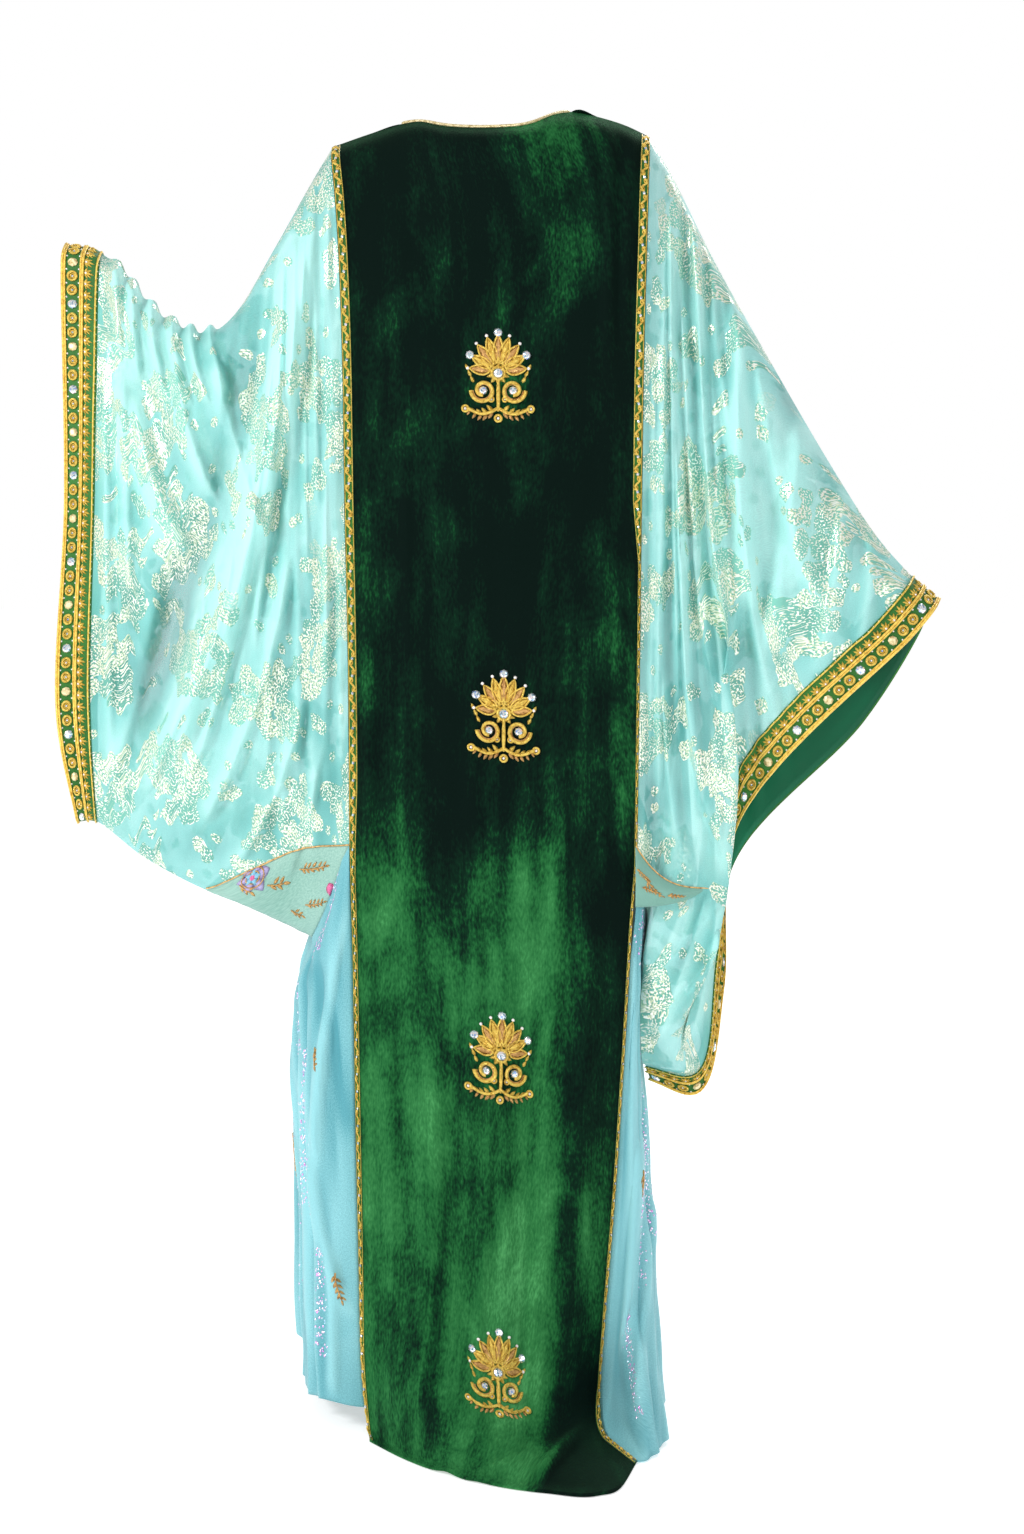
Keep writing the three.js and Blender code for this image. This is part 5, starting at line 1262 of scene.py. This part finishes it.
def braid(name, edge_share, direction):
    """A strip along one edge of the back panel, with its scrolls, stones and border cords."""
    down = spread(0.012, 1.999, BRAID_ROWS)
    start = back_panel_point(np.full(BRAID_ROWS, edge_share), down)
    inside = back_panel_point(np.full(BRAID_ROWS, edge_share + direction * MEASURED_SHARE), down)
    per_mm = MEASURED_SHARE / np.linalg.norm(inside - start, axis=1)
    shown = np.interp(-start[:, 2], BRAID_DROP[name], BRAID_SHOWN[name])
    mm_in = BRAID_INSET + shown[:, None] * np.linspace(0.3, BRAID_WIDTH, BRAID_COLUMNS)
    across = edge_share + direction * per_mm[:, None] * mm_in
    points = back_panel_point(across, np.broadcast_to(down[:, None], across.shape))
    strip = Cloth(points, -direction).moved(VELVET_THICK / 2 + 0.5)
    piece = sheet_object(f"trim_{name}_ground", strip, CUFF_GROUND, BRAID_THICK)
    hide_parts(f"trim_{name}")
    length = strip.down[-1, BRAID_COLUMNS // 2]
    knots = np.arange(BRAID_PITCH / 2, length, BRAID_PITCH)
    width = BRAID_WIDTH + 1
    options = {"share": True, "scale_a": 1 / width}
    for shape, shift_down, sideways, turn in BRAID_KNOT:
        places = row_of(0.5 + sideways / width, knots + shift_down)
        braid_gold.stamp(strip, shape, places, turn, base=0.3, **options)
    braid_stones.stamp(strip, SMALL_STONE, row_of(0.5, knots + BRAID_PITCH / 2), base=0.8, **options)
    for share in (0.07, 0.93):
        long_cord(braid_gold, strip, share, np.linspace(1, length - 1, 280), 0.55, width, 0.2)
    return piece


braid_bases = [braid("left", 0.0, 1.0), braid("right", 1.0, -1.0)]
braid_piece = braid_gold.finish("braid_gold_scrolls", GOLD, "gold")
braid_stone_piece = braid_stones.finish("braid_stones", CRYSTAL, "gold", faceted=True)


# ---- neck binding: a fine rolled edge ----
BINDING_RADIUS, BINDING_SIDES, BINDING_LIFT = 2.1, 8, 1.4
SMOOTHING_ROUNDS = 6


def cord_in_space(path, side_way, other, radius, sides):
    """Rings of points round a path; side_way and other are unit vectors square to it."""
    angle = ring_angles(sides)[:, None]
    ring = side_way[:, None] * np.cos(angle) + other[:, None] * np.sin(angle)
    return (path[:, None] + radius * ring).reshape(-1, 3)


def neck_binding():
    columns = (PANEL_COLUMNS >= NECK_START) & (PANEL_COLUMNS <= NECK_END)
    line = np.concatenate([back.points[0][columns], front.points[0][columns][::-1][1:-1]])
    for _ in range(SMOOTHING_ROUNDS):
        line = (np.roll(line, 1, 0) + 2 * line + np.roll(line, -1, 0)) / 4
    ahead = unit(np.roll(line, -1, 0) - np.roll(line, 1, 0))
    outward = unit(np.cross(ahead, [0, 0, 1.0]))
    centre = line + np.array([0, 0, BINDING_LIFT])
    points = cord_in_space(centre, outward, np.cross(outward, ahead), BINDING_RADIUS, BINDING_SIDES)
    around = ring_angles(BINDING_SIDES) * BINDING_RADIUS
    threads = np.stack(np.broadcast_arrays(lengths_along(line)[:, None], around), -1).reshape(-1, 2) * MM
    faces = tube_faces(len(line), BINDING_SIDES, closed=True)
    binding = build_object("neck_binding_cord", points, faces, PALE_GOLD, threads)
    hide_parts("neck_binding")


neck_binding()

# ---- cuffs: cords, rings, stones, beads and leaf sprays ----
CUFF_WIDTH, ELEMENT_PITCH = 37.0, 15.7
# shares of the width: the row of rings, the middle cord and the roots of the leaf sprays
ROW_PLACE, MID_CORD, SPRAY_ROOT = 0.68, 0.40, 0.36
RING = ring_shape(4.3, 1.35, 1.18)
INNER_RING = ring_shape(2.3, 0.7, 1.1, 10)
STONE = crystal_shape(5.4, 3.4)
GOLD_STONE = crystal_shape(5.2, 3.6)
DOT_STONE = crystal_shape(1.6, 1.6, 6)
WHITE_BEAD = dome_shape(1.15, 1.2, 8, 2)
SPRAY_LEAF = leaf_shape(8.6, 3.0, 1.5)
# angle from the middle leaf and size of each leaf in a spray
SPRAY = ((-1.15, 0.85), (-0.6, 1.0), (0.0, 1.1), (0.6, 1.0), (1.15, 0.85))
# share of the width and radius of each cord
CUFF_CORDS = ((0.955, 1.5), (0.895, 1.1), (MID_CORD + 0.06, 1.1), (MID_CORD, 1.3), (0.045, 0.9))
CORD_STEPS, TESTED_ROW = 520, 60
# elements in a repeat, which of them is a crystal or a gold stone, and leaf sprays to an element
REPEAT, CRYSTAL_AT, GOLD_STONE_AT, SPRAYS = 6, 0, 3, 1.25
# beads sit between the rings, this share of the width above and below their row
BEADS_ASIDE = (0.17, -0.17)


def closed_loop(cloth):
    """A cuff with its first row repeated, so that a place past the last row is found too."""
    loop = Cloth(np.concatenate([cloth.points, cloth.points[:1]]), cloth.outward)
    loop.normals[0] = loop.normals[-1] = (loop.normals[0] + loop.normals[-1]) / 2
    # one row tells whether the normals point out of the loop
    row_outward = loop.points[TESTED_ROW] - loop.points.mean((0, 1))
    if (loop.normals[TESTED_ROW] * row_outward).sum() < 0:
        loop.normals *= -1
    loop.normals = unit(loop.normals)
    return loop


def evenly(count, length):
    """Places in the middles of equal steps."""
    return (np.arange(count) + 0.5) * length / count


def cuff_work(name, cloth):
    """Six elements repeat round the cuff: a crystal, two rings, a gold stone and two rings."""
    loop = closed_loop(cloth)
    length = loop.down[-1, CUFF_COLUMNS // 2]
    count = int(round(length / ELEMENT_PITCH / REPEAT)) * REPEAT
    places = evenly(count, length)
    kind = np.arange(count) % REPEAT
    base = CUFF_THICK / 2
    options = {"share": True, "base": base, "scale_a": 1 / CUFF_WIDTH}
    gold, stones, beads, amber = Work(), Work(), Work(), Work()
    rings = row_of(ROW_PLACE, places[(kind != CRYSTAL_AT) & (kind != GOLD_STONE_AT)])
    gold.stamp(loop, RING, rings, **options)
    gold.stamp(loop, INNER_RING, rings, **options)
    stones.stamp(loop, DOT_STONE, rings, **options)
    stones.stamp(loop, STONE, row_of(ROW_PLACE, places[kind == CRYSTAL_AT]), **options)
    amber.stamp(loop, GOLD_STONE, row_of(ROW_PLACE, places[kind == GOLD_STONE_AT]), **options)
    for aside in BEADS_ASIDE:
        between = row_of(ROW_PLACE + aside, places - length / count / 2)
        beads.stamp(loop, WHITE_BEAD, between, **options)
    sprays = evenly(int(count * SPRAYS), length)
    for angle, size in SPRAY:
        gold.stamp(loop, SPRAY_LEAF, row_of(SPRAY_ROOT, sprays), math.pi / 2 + angle, size, **options)
    beads.stamp(loop, WHITE_BEAD, row_of(SPRAY_ROOT - 0.04, sprays), size=1.3, **options)
    beads.stamp(loop, SEED_BEAD, row_of(0.03, evenly(count * 2, length)), **options)
    down = np.arange(CORD_STEPS) * length / CORD_STEPS
    for share, radius in CUFF_CORDS:
        long_cord(gold, loop, share, down, radius, CUFF_WIDTH, base, MM)
    return [
        gold.finish(f"cuff_{name}_gold_work", GOLD, "gold"),
        stones.finish(f"cuff_{name}_crystals", CRYSTAL, "cuff", faceted=True),
        amber.finish(f"cuff_{name}_gold_stones", PALE_GOLD, "gold", faceted=True),
        beads.finish(f"cuff_{name}_beads", PEARL, "cuff")]


cuff_pieces = {name: cuff_work(name, cloth) for name, cloth in cuffs.items()}

# ---- four zari motifs down the middle of the back: a palmette over a rosette and scrolls ----
MOTIF_HEIGHTS = (-246, -617, -983, -1311)
MOTIF_SIDE = (-2, -8, -5, -3)
MOTIF_SIZE = 0.93
# angle from the upright in degrees, and length, of each leaf of the fan; some tips hold a crystal
FAN = ((-84, 31), (-60, 34), (-38, 38), (-18, 41), (0, 43), (18, 41), (38, 38), (60, 34), (84, 31))
STONE_TIPS = (1, 4, 7)
BIG_STONE, SIDE_STONE = crystal_shape(6.3, 4.6), crystal_shape(5.4, 4.0)
PEARL_BEAD = dome_shape(2.1, 2.1, 8, 3)
CENTRE_LEAF, GARLAND_LEAF = leaf_shape(10.5, 5.6, 2.4), leaf_shape(11, 5.2, 2.0)
GARLAND_HEIGHT, GARLAND_REACH, GARLAND_SAG = -38, 36, 7
CURL_PLACE = (17.5, -17)
motif_gold, motif_stones, motif_pearls, motif_pale = Work(), Work(), Work(), Work()
middle_column = len(PANEL_COLUMNS) // 2


def spiral(turns, start, end, steps=34):
    angle = np.linspace(0, turns * 2 * math.pi, steps)
    radius = np.linspace(start, end, steps)
    return np.stack([radius * np.cos(angle), radius * np.sin(angle)], -1)


class Motif:
    """Puts shapes on the back panel by millimetres across and up from one motif's middle."""

    def __init__(self, height, side_shift):
        row_number = int(np.argmin(np.abs(back.points[:, middle_column, 2] - height)))
        self.b = back.down[row_number, middle_column]
        self.a = back.points[row_number, middle_column, 0] - side_shift

    def put(self, work, shape, x, y, turn=0.0, size=1.0):
        place = (self.a + x * MOTIF_SIZE, self.b - y * MOTIF_SIZE)
        work.stamp(back, shape, [place], turn, size * MOTIF_SIZE, VELVET_THICK / 2, middle_column)

    def ring_and_pearl(self, x, y, radius, thick, size=1.0):
        self.put(motif_gold, ring_shape(radius, thick), x, y)
        self.put(motif_pearls, PEARL_BEAD, x, y, size=size)

    def fan(self):
        """Leaves with a corded outline, and a crystal or a pearl at each tip."""
        for number, (degrees, length) in enumerate(FAN):
            angle, reach = math.radians(degrees), length * 0.78
            x, y = 9 * math.sin(angle), 5 + 9 * math.cos(angle)
            leaf = leaf_shape(reach, 10.5, 3.0, 7)
            self.put(motif_gold if number % 2 else motif_pale, leaf, x, y, math.pi + angle)
            outline = thread_shape(leaf_outline(reach, 11.5), 1.15)
            self.put(motif_gold, outline, x, y, math.pi + angle)
            tip_x, tip_y = x + (reach + 2.2) * math.sin(angle), y + (reach + 2.2) * math.cos(angle)
            if number in STONE_TIPS:
                self.put(motif_stones, BIG_STONE, tip_x, tip_y, size=0.85)
            else:
                self.put(motif_pearls, PEARL_BEAD, tip_x, tip_y)

    def rosette_and_stem(self):
        """Ten leaves, a ring and a crystal, and the stem that rises into the fan."""
        for k in range(10):
            angle = k * math.pi / 5
            x, y = 3.5 * math.sin(angle), 3 + 3.5 * math.cos(angle)
            self.put(motif_gold, CENTRE_LEAF, x, y, math.pi + angle)
        self.put(motif_gold, ring_shape(7.4, 1.5), 0, 3)
        self.put(motif_stones, BIG_STONE, 0, 3)
        stem = np.stack([np.zeros(16), np.linspace(6, 44, 16)], -1)
        self.put(motif_gold, thread_shape(stem, 2.3, taper=True), 0, 3)

    def curl(self, hand):
        """A coiled cord round a crystal, with three leaves beside it; hand is -1 or 1."""
        x, y = hand * CURL_PLACE[0], CURL_PLACE[1]
        path = spiral(1.25, 14.5, 5.4) * [hand, 1]
        self.put(motif_gold, thread_shape(path, 2.1), x, y)
        self.put(motif_pale, thread_shape(path * 0.8, 1.0, 5), x, y)
        self.put(motif_stones, SIDE_STONE, x, y)
        for k in range(3):
            self.put(motif_gold, GARLAND_LEAF, hand * (28 + 3 * k), -8 + 7 * k, math.pi + hand * 0.5, 0.8)

    def garland(self, hand):
        """Half of the hanging cord below, with its leaves and two pearls."""
        across, sag = np.linspace(0, GARLAND_REACH, 22), np.sin(np.linspace(0, math.pi, 22))
        path = np.stack([hand * across, GARLAND_SAG * sag - 1], -1)
        self.put(motif_gold, thread_shape(path, 1.9), 0, GARLAND_HEIGHT)
        for k in range(5):
            reach, size = 6 + 6.6 * k, 1 - 0.07 * k
            rise = GARLAND_HEIGHT - GARLAND_SAG * math.sin(math.pi * reach / GARLAND_REACH)
            self.put(motif_gold, GARLAND_LEAF, hand * reach, rise, math.pi + hand * 0.75, size)
            self.put(motif_pale, GARLAND_LEAF, hand * reach, rise, hand * -0.6, size - 0.1)
        self.ring_and_pearl(hand * 38, GARLAND_HEIGHT, 3.6, 1.3)
        self.ring_and_pearl(hand * 8, -27, 2.9, 1.1, 0.8)


for height, side_shift in zip(MOTIF_HEIGHTS, MOTIF_SIDE):
    motif = Motif(height, side_shift)
    motif.fan()
    motif.rosette_and_stem()
    for hand in (-1, 1):
        motif.curl(hand)
        motif.garland(hand)
    motif.ring_and_pearl(0, -49, 3.8, 1.4)
motif_pieces = [
    motif_gold.finish("motif_gold_work", GOLD, "gold"),
    motif_pale.finish("motif_copper_leaves", COPPER, "gold"),
    motif_stones.finish("motif_crystals", CRYSTAL, "gold", faceted=True),
    motif_pearls.finish("motif_pearls", PEARL, "gold")]

# ---- gussets: roses, buds and copper leaf sprigs ----
SPRIG_LEAF = leaf_shape(10.0, 4.2, 1.6)
SPRIG_STEP = 7.4
LILAC_PETAL, BLUE_PETAL = leaf_shape(11, 9, 1.0), leaf_shape(7, 6, 1.6)
ROSE_HEART = dome_shape(2.6, 2.2, 8, 2)
BUD = leaf_shape(11, 7, 1.6)
lilac, blue, pink, copper = Work(), Work(), Work(), Work()


def sprig(cloth, b, turn, size, leaves, column):
    """Leaves on alternate sides of a stalk, and one at its tip."""
    base = CREPE_THICK / 2
    direction = np.array([-math.sin(turn), math.cos(turn)])
    for k in range(2 * leaves + 1):
        place = [0, b] + direction * SPRIG_STEP * size * k / 2
        lean = 0.85 if k % 2 else -0.7
        if k == 2 * leaves:
            lean = 0.0
        copper.stamp(cloth, SPRIG_LEAF, [place], turn + lean, size * (1 - 0.03 * k), base, column)
    sway, reach = 1.5 * np.sin(np.linspace(0, 3, 12)), np.linspace(-3, SPRIG_STEP * leaves, 12)
    stalk = thread_shape(np.stack([sway, reach], -1) * size, 0.9, 5)
    copper.stamp(cloth, stalk, [(0, b)], turn, base=base, column=column)


def rose(cloth, b, size, column):
    """Six lilac petals, five blue ones on them, a pink heart and two copper outlines."""
    base = CREPE_THICK / 2
    for k in range(6):
        angle = k * math.pi / 3 + 0.2
        place = (2 * math.cos(angle) * size, b + 2 * math.sin(angle) * size)
        lilac.stamp(cloth, LILAC_PETAL, [place], angle - math.pi / 2, size, base, column)
    for k in range(5):
        blue.stamp(cloth, BLUE_PETAL, [(0, b)], k * math.pi * 0.4 + 0.5, size, base + 0.5, column)
    pink.stamp(cloth, ROSE_HEART, [(0, b)], size=size, base=base, column=column)
    for radius in (5.2, 8.6):
        outline = ring_shape(radius, 0.45, 0.9, 16)
        copper.stamp(cloth, outline, [(0, b)], size=size, base=base + 0.7, column=column)


def nearest_place(cloth, x, z, rows=slice(None), behind=-1000):
    """Column number and distance down it, for the cloth's point closest to (x, z)."""
    part = cloth.points[rows]
    distance = (part[..., 0] - x) ** 2 + (part[..., 2] - z) ** 2 + (part[..., 1] < behind) * 1e6
    i, j = np.unravel_index(distance.argmin(), distance.shape)
    j = int(np.clip(j, 1, part.shape[1] - 2))
    return j, cloth.down[rows][i, j]


# the right gusset's outer fold: its seam and its lower edge, each from the velvet to the outer end
FOLD_SEAM = np.array([(-152, 109, -757.0), (-236, 90, -757.0)])
FOLD_EDGE = np.array([(-152, 111, -823.0), (-238, 88, -808.0)])
# how far the seam runs down, how far the edge sags and how far the cloth turns under it
SEAM_DROP, EDGE_SAG, TURNED_UNDER = 49, 5, 13


def gusset_fold_point(out, down):
    """The right gusset's outer fold, which hangs over the sleeve's lower loop."""
    seam, fold = mix(*FOLD_SEAM, out[..., None]), mix(*FOLD_EDGE, out[..., None])
    seam[..., 2] -= SEAM_DROP * (1 - (1 - out) ** 3.0)
    fold[..., 2] -= EDGE_SAG * np.sin(math.pi * out)
    point = mix(seam, fold, np.minimum(down, 1.0)[..., None])
    point[..., 1] += 2 + 8 * np.sin(math.pi * np.clip(down, 0, 1)) * smooth((1.0 - out) * 2)
    under = np.clip(down - 1, 0, 1)
    point[..., 1] -= TURNED_UNDER * np.sin(under * math.pi / 2) * smooth((1.05 - out) * 4)
    point[..., 2] -= 3 * np.sin(under * math.pi) - 5 * under * under
    return point


fold_rows = np.r_[spread(0, 1, 26), spread(1, 2, 8)[1:]]
outer_fold = Cloth(grid(fold_rows, spread(0, 1, 40), gusset_fold_point), -1)
# painted shade: the fold is given as sunk 8 to 13 mm, so the crepe is painted darker, most at its outer end
outer_fold.fold = -8 - 5 * outer_fold.across / outer_fold.across.max()
dress_piece("gusset_right_fold", outer_fold, GUSSET, "gusset_right", CREPE_THICK, "stretched")
gussets["right_fold"] = outer_fold

# per gusset: kind, x, z, size, turn
GUSSET_WORK = {
    "left": (
        ("rose", 272, -802, 1.7, 0), ("bud", 184, -802, 1.8, 0.6), ("long_sprig", 216, -788, 1.0, 1.7),
        ("twig", 254, -810, 1.1, 1.6), ("twig", 286, -813, 0.9, 1.0), ("sprig", 211, -829, 0.85, 2.0),
        ("twig", 228, -838, 0.8, 1.4)),
    "right": (),
    "right_fold": (
        ("sprig", -155, -783, 0.55, -1.6), ("sprig", -163, -794, 0.75, -1.0),
        ("sprig", -188, -812, 0.55, -1.5), ("sprig", -155, -812, 0.5, -1.6))}
# per gusset, on its front: kind, share of the way round, share of the way out, size, turn
FRONT_WORK = {
    "left": (
        ("rose", 0.72, 0.42, 1.2, 0), ("rose", 0.86, 0.3, 1.0, 0), ("sprig", 0.66, 0.2, 1.2, 1.0),
        ("sprig", 0.8, 0.5, 1.2, -0.6), ("sprig", 0.64, 0.6, 1.1, 2.0), ("bud", 0.6, 0.32, 1.0, 0)),
    "right": (("rose", 0.82, 0.45, 1.0, 0), ("sprig", 0.7, 0.3, 1.2, 1.0), ("bud", 0.6, 0.3, 1.0, 0)),
    "right_fold": ()}
LEAF_PAIRS = {"twig": 2, "sprig": 4, "long_sprig": 5}
# the rows of each gusset that carry piping, as seams with the sheer cloth
PIPED_ROWS = {"left": (0, -1), "right": (), "right_fold": (0,)}
PIPING_RADIUS, PIPING_LIFT, PIPING_SIDES, PIPING_STEPS = 0.8, 0.9, 5, 110


def embroider(kind, cloth, column, b, size, turn):
    if kind == "rose":
        rose(cloth, b, size, column)
    elif kind == "bud":
        pink.stamp(cloth, BUD, [(0, b)], turn, size, CREPE_THICK / 2, column)
    else:
        sprig(cloth, b, turn, size, LEAF_PAIRS[kind], column)


def piping(cloth, row_number):
    """A fine cord along one row of a gusset."""
    edge = cloth.points[row_number] + cloth.normals[row_number] * PIPING_LIFT
    lengths = lengths_along(edge)
    place = np.linspace(0, lengths[-1], PIPING_STEPS)
    path = np.stack([np.interp(place, lengths, edge[:, k]) for k in range(3)], -1)
    step = unit(np.gradient(path, axis=0))
    side_way = unit(np.cross(step, [0.0, 1.0, 0.0]))
    points = cord_in_space(path, side_way, np.cross(step, side_way), PIPING_RADIUS, PIPING_SIDES)
    copper.add(points, tube_faces(PIPING_STEPS, PIPING_SIDES))


for name in ("left", "right", "right_fold"):
    cloth = gussets[name]
    row_count, column_count = cloth.points.shape[:2]
    for kind, x, z, size, turn in GUSSET_WORK[name]:
        column, b = nearest_place(cloth, x, z, slice(0, row_count // 2))
        embroider(kind, cloth, column, b, size, turn)
    for kind, round_share, out_share, size, turn in FRONT_WORK[name]:
        column = int(out_share * (column_count - 1))
        embroider(kind, cloth, column, cloth.down[-1, column] * round_share, size, turn)
    for row_number in PIPED_ROWS[name]:
        piping(cloth, row_number)

# ---- side panels: upright lines of sequins and a few copper sprigs ----
SEQUIN_SHAPE = dome_shape(1.5, 0.6, 6, 2)
# share of the way round, start and end as shares of the way down, and number of sequins
SEQUIN_LINES = (
    (0.17, 0.0, 0.14, 90), (0.12, 0.72, 0.92, 110), (0.28, 0.3, 0.62, 200), (0.2, 0.5, 0.7, 60),
    (0.36, 0.05, 0.3, 100), (0.5, 0.3, 0.85, 120), (0.66, 0.2, 0.8, 120), (0.82, 0.3, 0.9, 120))
# how far the sequins stray from their line in mm, in most lines and in the one at the top
STRAY, TOP_STRAY = 4.0, 8.0
# panel, x and z or the shares round and down, and turn
SIDE_SPRIGS = (("left", 199, -984, 0.35), ("left", 177, -1225, 0.25), ("right", -160, -1120, -0.3))
FRONT_SPRIGS = (("left", 0.55, 0.5, 0.3), ("left", 0.75, 0.3, 0.1), ("right", 0.7, 0.35, -0.2))
sequins = Work()
chance = np.random.default_rng(5)
for name, cloth in sides.items():
    for around, start, end, amount in SEQUIN_LINES:
        column = int(around * (cloth.points.shape[1] - 1))
        length = cloth.down[-1, column]
        b = chance.uniform(start, end, amount) * length
        a = chance.normal(0, STRAY if start else TOP_STRAY, amount) * (1 + 2 * (b / length - start))
        size = chance.uniform(0.6, 1.2, amount)
        sequins.stamp(cloth, SEQUIN_SHAPE, np.stack([a, b], -1), 0, size, CREPE_THICK / 2, column)
for name, x, z, turn in SIDE_SPRIGS:
    column, b = nearest_place(sides[name], x, z, behind=50)
    sprig(sides[name], b, turn, 0.9, 4, column)
for name, around, down, turn in FRONT_SPRIGS:
    column = int(around * (SIDE_STEPS - 1))
    sprig(sides[name], sides[name].down[-1, column] * down, turn, 1.0, 5, column)

lilac.finish("roses_lilac_petals", LILAC, "gusset")
blue.finish("roses_blue_petals", BLUE, "gusset")
pink.finish("roses_pink_hearts", PINK, "gusset")
copper.finish("copper_sprigs", COPPER, "gold")
sequins.finish("side_sequins", SEQUIN, "turquoise")

# ---- the pieces that go with the back panel and each cuff band ----
WITH_PIECES = {
    "velvet_back_panel": [*braid_bases, braid_piece, braid_stone_piece, *motif_pieces],
    "cuff_left_band": cuff_pieces["left"], "cuff_right_band": cuff_pieces["right"],
}
for name, (piece, flat, area, held) in pieces_made.items():
    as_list(WITH_PIECES.get(name, []))

# ---- floor, light and camera; places in metres ----
FLOOR_PLACE = (0, 0, -1.3922)
bpy.ops.mesh.primitive_plane_add(size=30, location=FLOOR_PLACE)
floor = bpy.context.object
floor.name = "floor"
paper = Look("floor_paper", Specular_IOR_Level=0.1, Emission_Color=rgb(1, 1, 1), Emission_Strength=0.52)
paper_tone = paper.noise(paper.space(), 2.0, 1)
paper_colour = paper.ramp(paper_tone, [(0.3, rgb(0.86, 0.86, 0.87)), (0.7, rgb(0.9, 0.9, 0.91))])
floor.data.materials.append(paper.finish(paper_colour, 0.8))

# how strongly the studio lights the dress, and how bright the backdrop looks
STUDIO_LIGHT, BACKDROP_LIGHT = 0.55, 1.0
world = bpy.data.worlds.new("studio")
bpy.context.scene.world = world
world.use_nodes = True
world.node_tree.nodes["Background"].inputs[0].default_value = rgb(1, 1, 1)
seen = world.node_tree.nodes.new("ShaderNodeLightPath").outputs["Is Camera Ray"]
strength = world.node_tree.nodes.new("ShaderNodeMapRange")
strength.inputs[3].default_value, strength.inputs[4].default_value = STUDIO_LIGHT, BACKDROP_LIGHT
world.node_tree.links.new(seen, strength.inputs[0])
world.node_tree.links.new(strength.outputs[0], world.node_tree.nodes["Background"].inputs[1])


def area_light(name, place, aim, size, power):
    """A square light that faces the point aim."""
    light = bpy.data.lights.new(name, "AREA")
    light.size, light.energy = size, power
    lamp = bpy.data.objects.new(name, light)
    bpy.context.scene.collection.objects.link(lamp)
    lamp.location = place
    direction = np.array(aim) - np.array(place)
    tilt = math.atan2(math.hypot(direction[0], direction[1]), -direction[2])
    lamp.rotation_euler = (tilt, 0, math.atan2(-direction[0], direction[1]))


# place, aim, size and power of each light
LIGHTS = {
    "key": ((2.9, 2.3, 1.4), (0, 0, -0.6), 1.0, 105),
    "fill": ((-3.0, 2.6, 0.0), (0, 0, -0.7), 1.6, 25),
    "rim": ((-1.2, -2.8, 1.6), (0, 0, -0.5), 1.6, 60)}
for name, measures in LIGHTS.items():
    area_light(name, *measures)

FOCAL_PIXELS, IMAGE_HEIGHT, SENSOR = 3219.0, 1534.0, 36.0
CAMERA_PLACE, CAMERA_PITCH = (-0.01695, 3.6, -0.291), math.radians(6.2)
camera_data = bpy.data.cameras.new("camera")
camera = bpy.data.objects.new("camera", camera_data)
bpy.context.scene.collection.objects.link(camera)
camera_data.sensor_width = SENSOR
camera_data.lens = SENSOR * FOCAL_PIXELS / IMAGE_HEIGHT
camera.location = CAMERA_PLACE
camera.rotation_euler = (math.pi / 2 - CAMERA_PITCH, 0, math.pi)
bpy.context.scene.camera = camera
bpy.context.scene.view_settings.view_transform = "Standard"
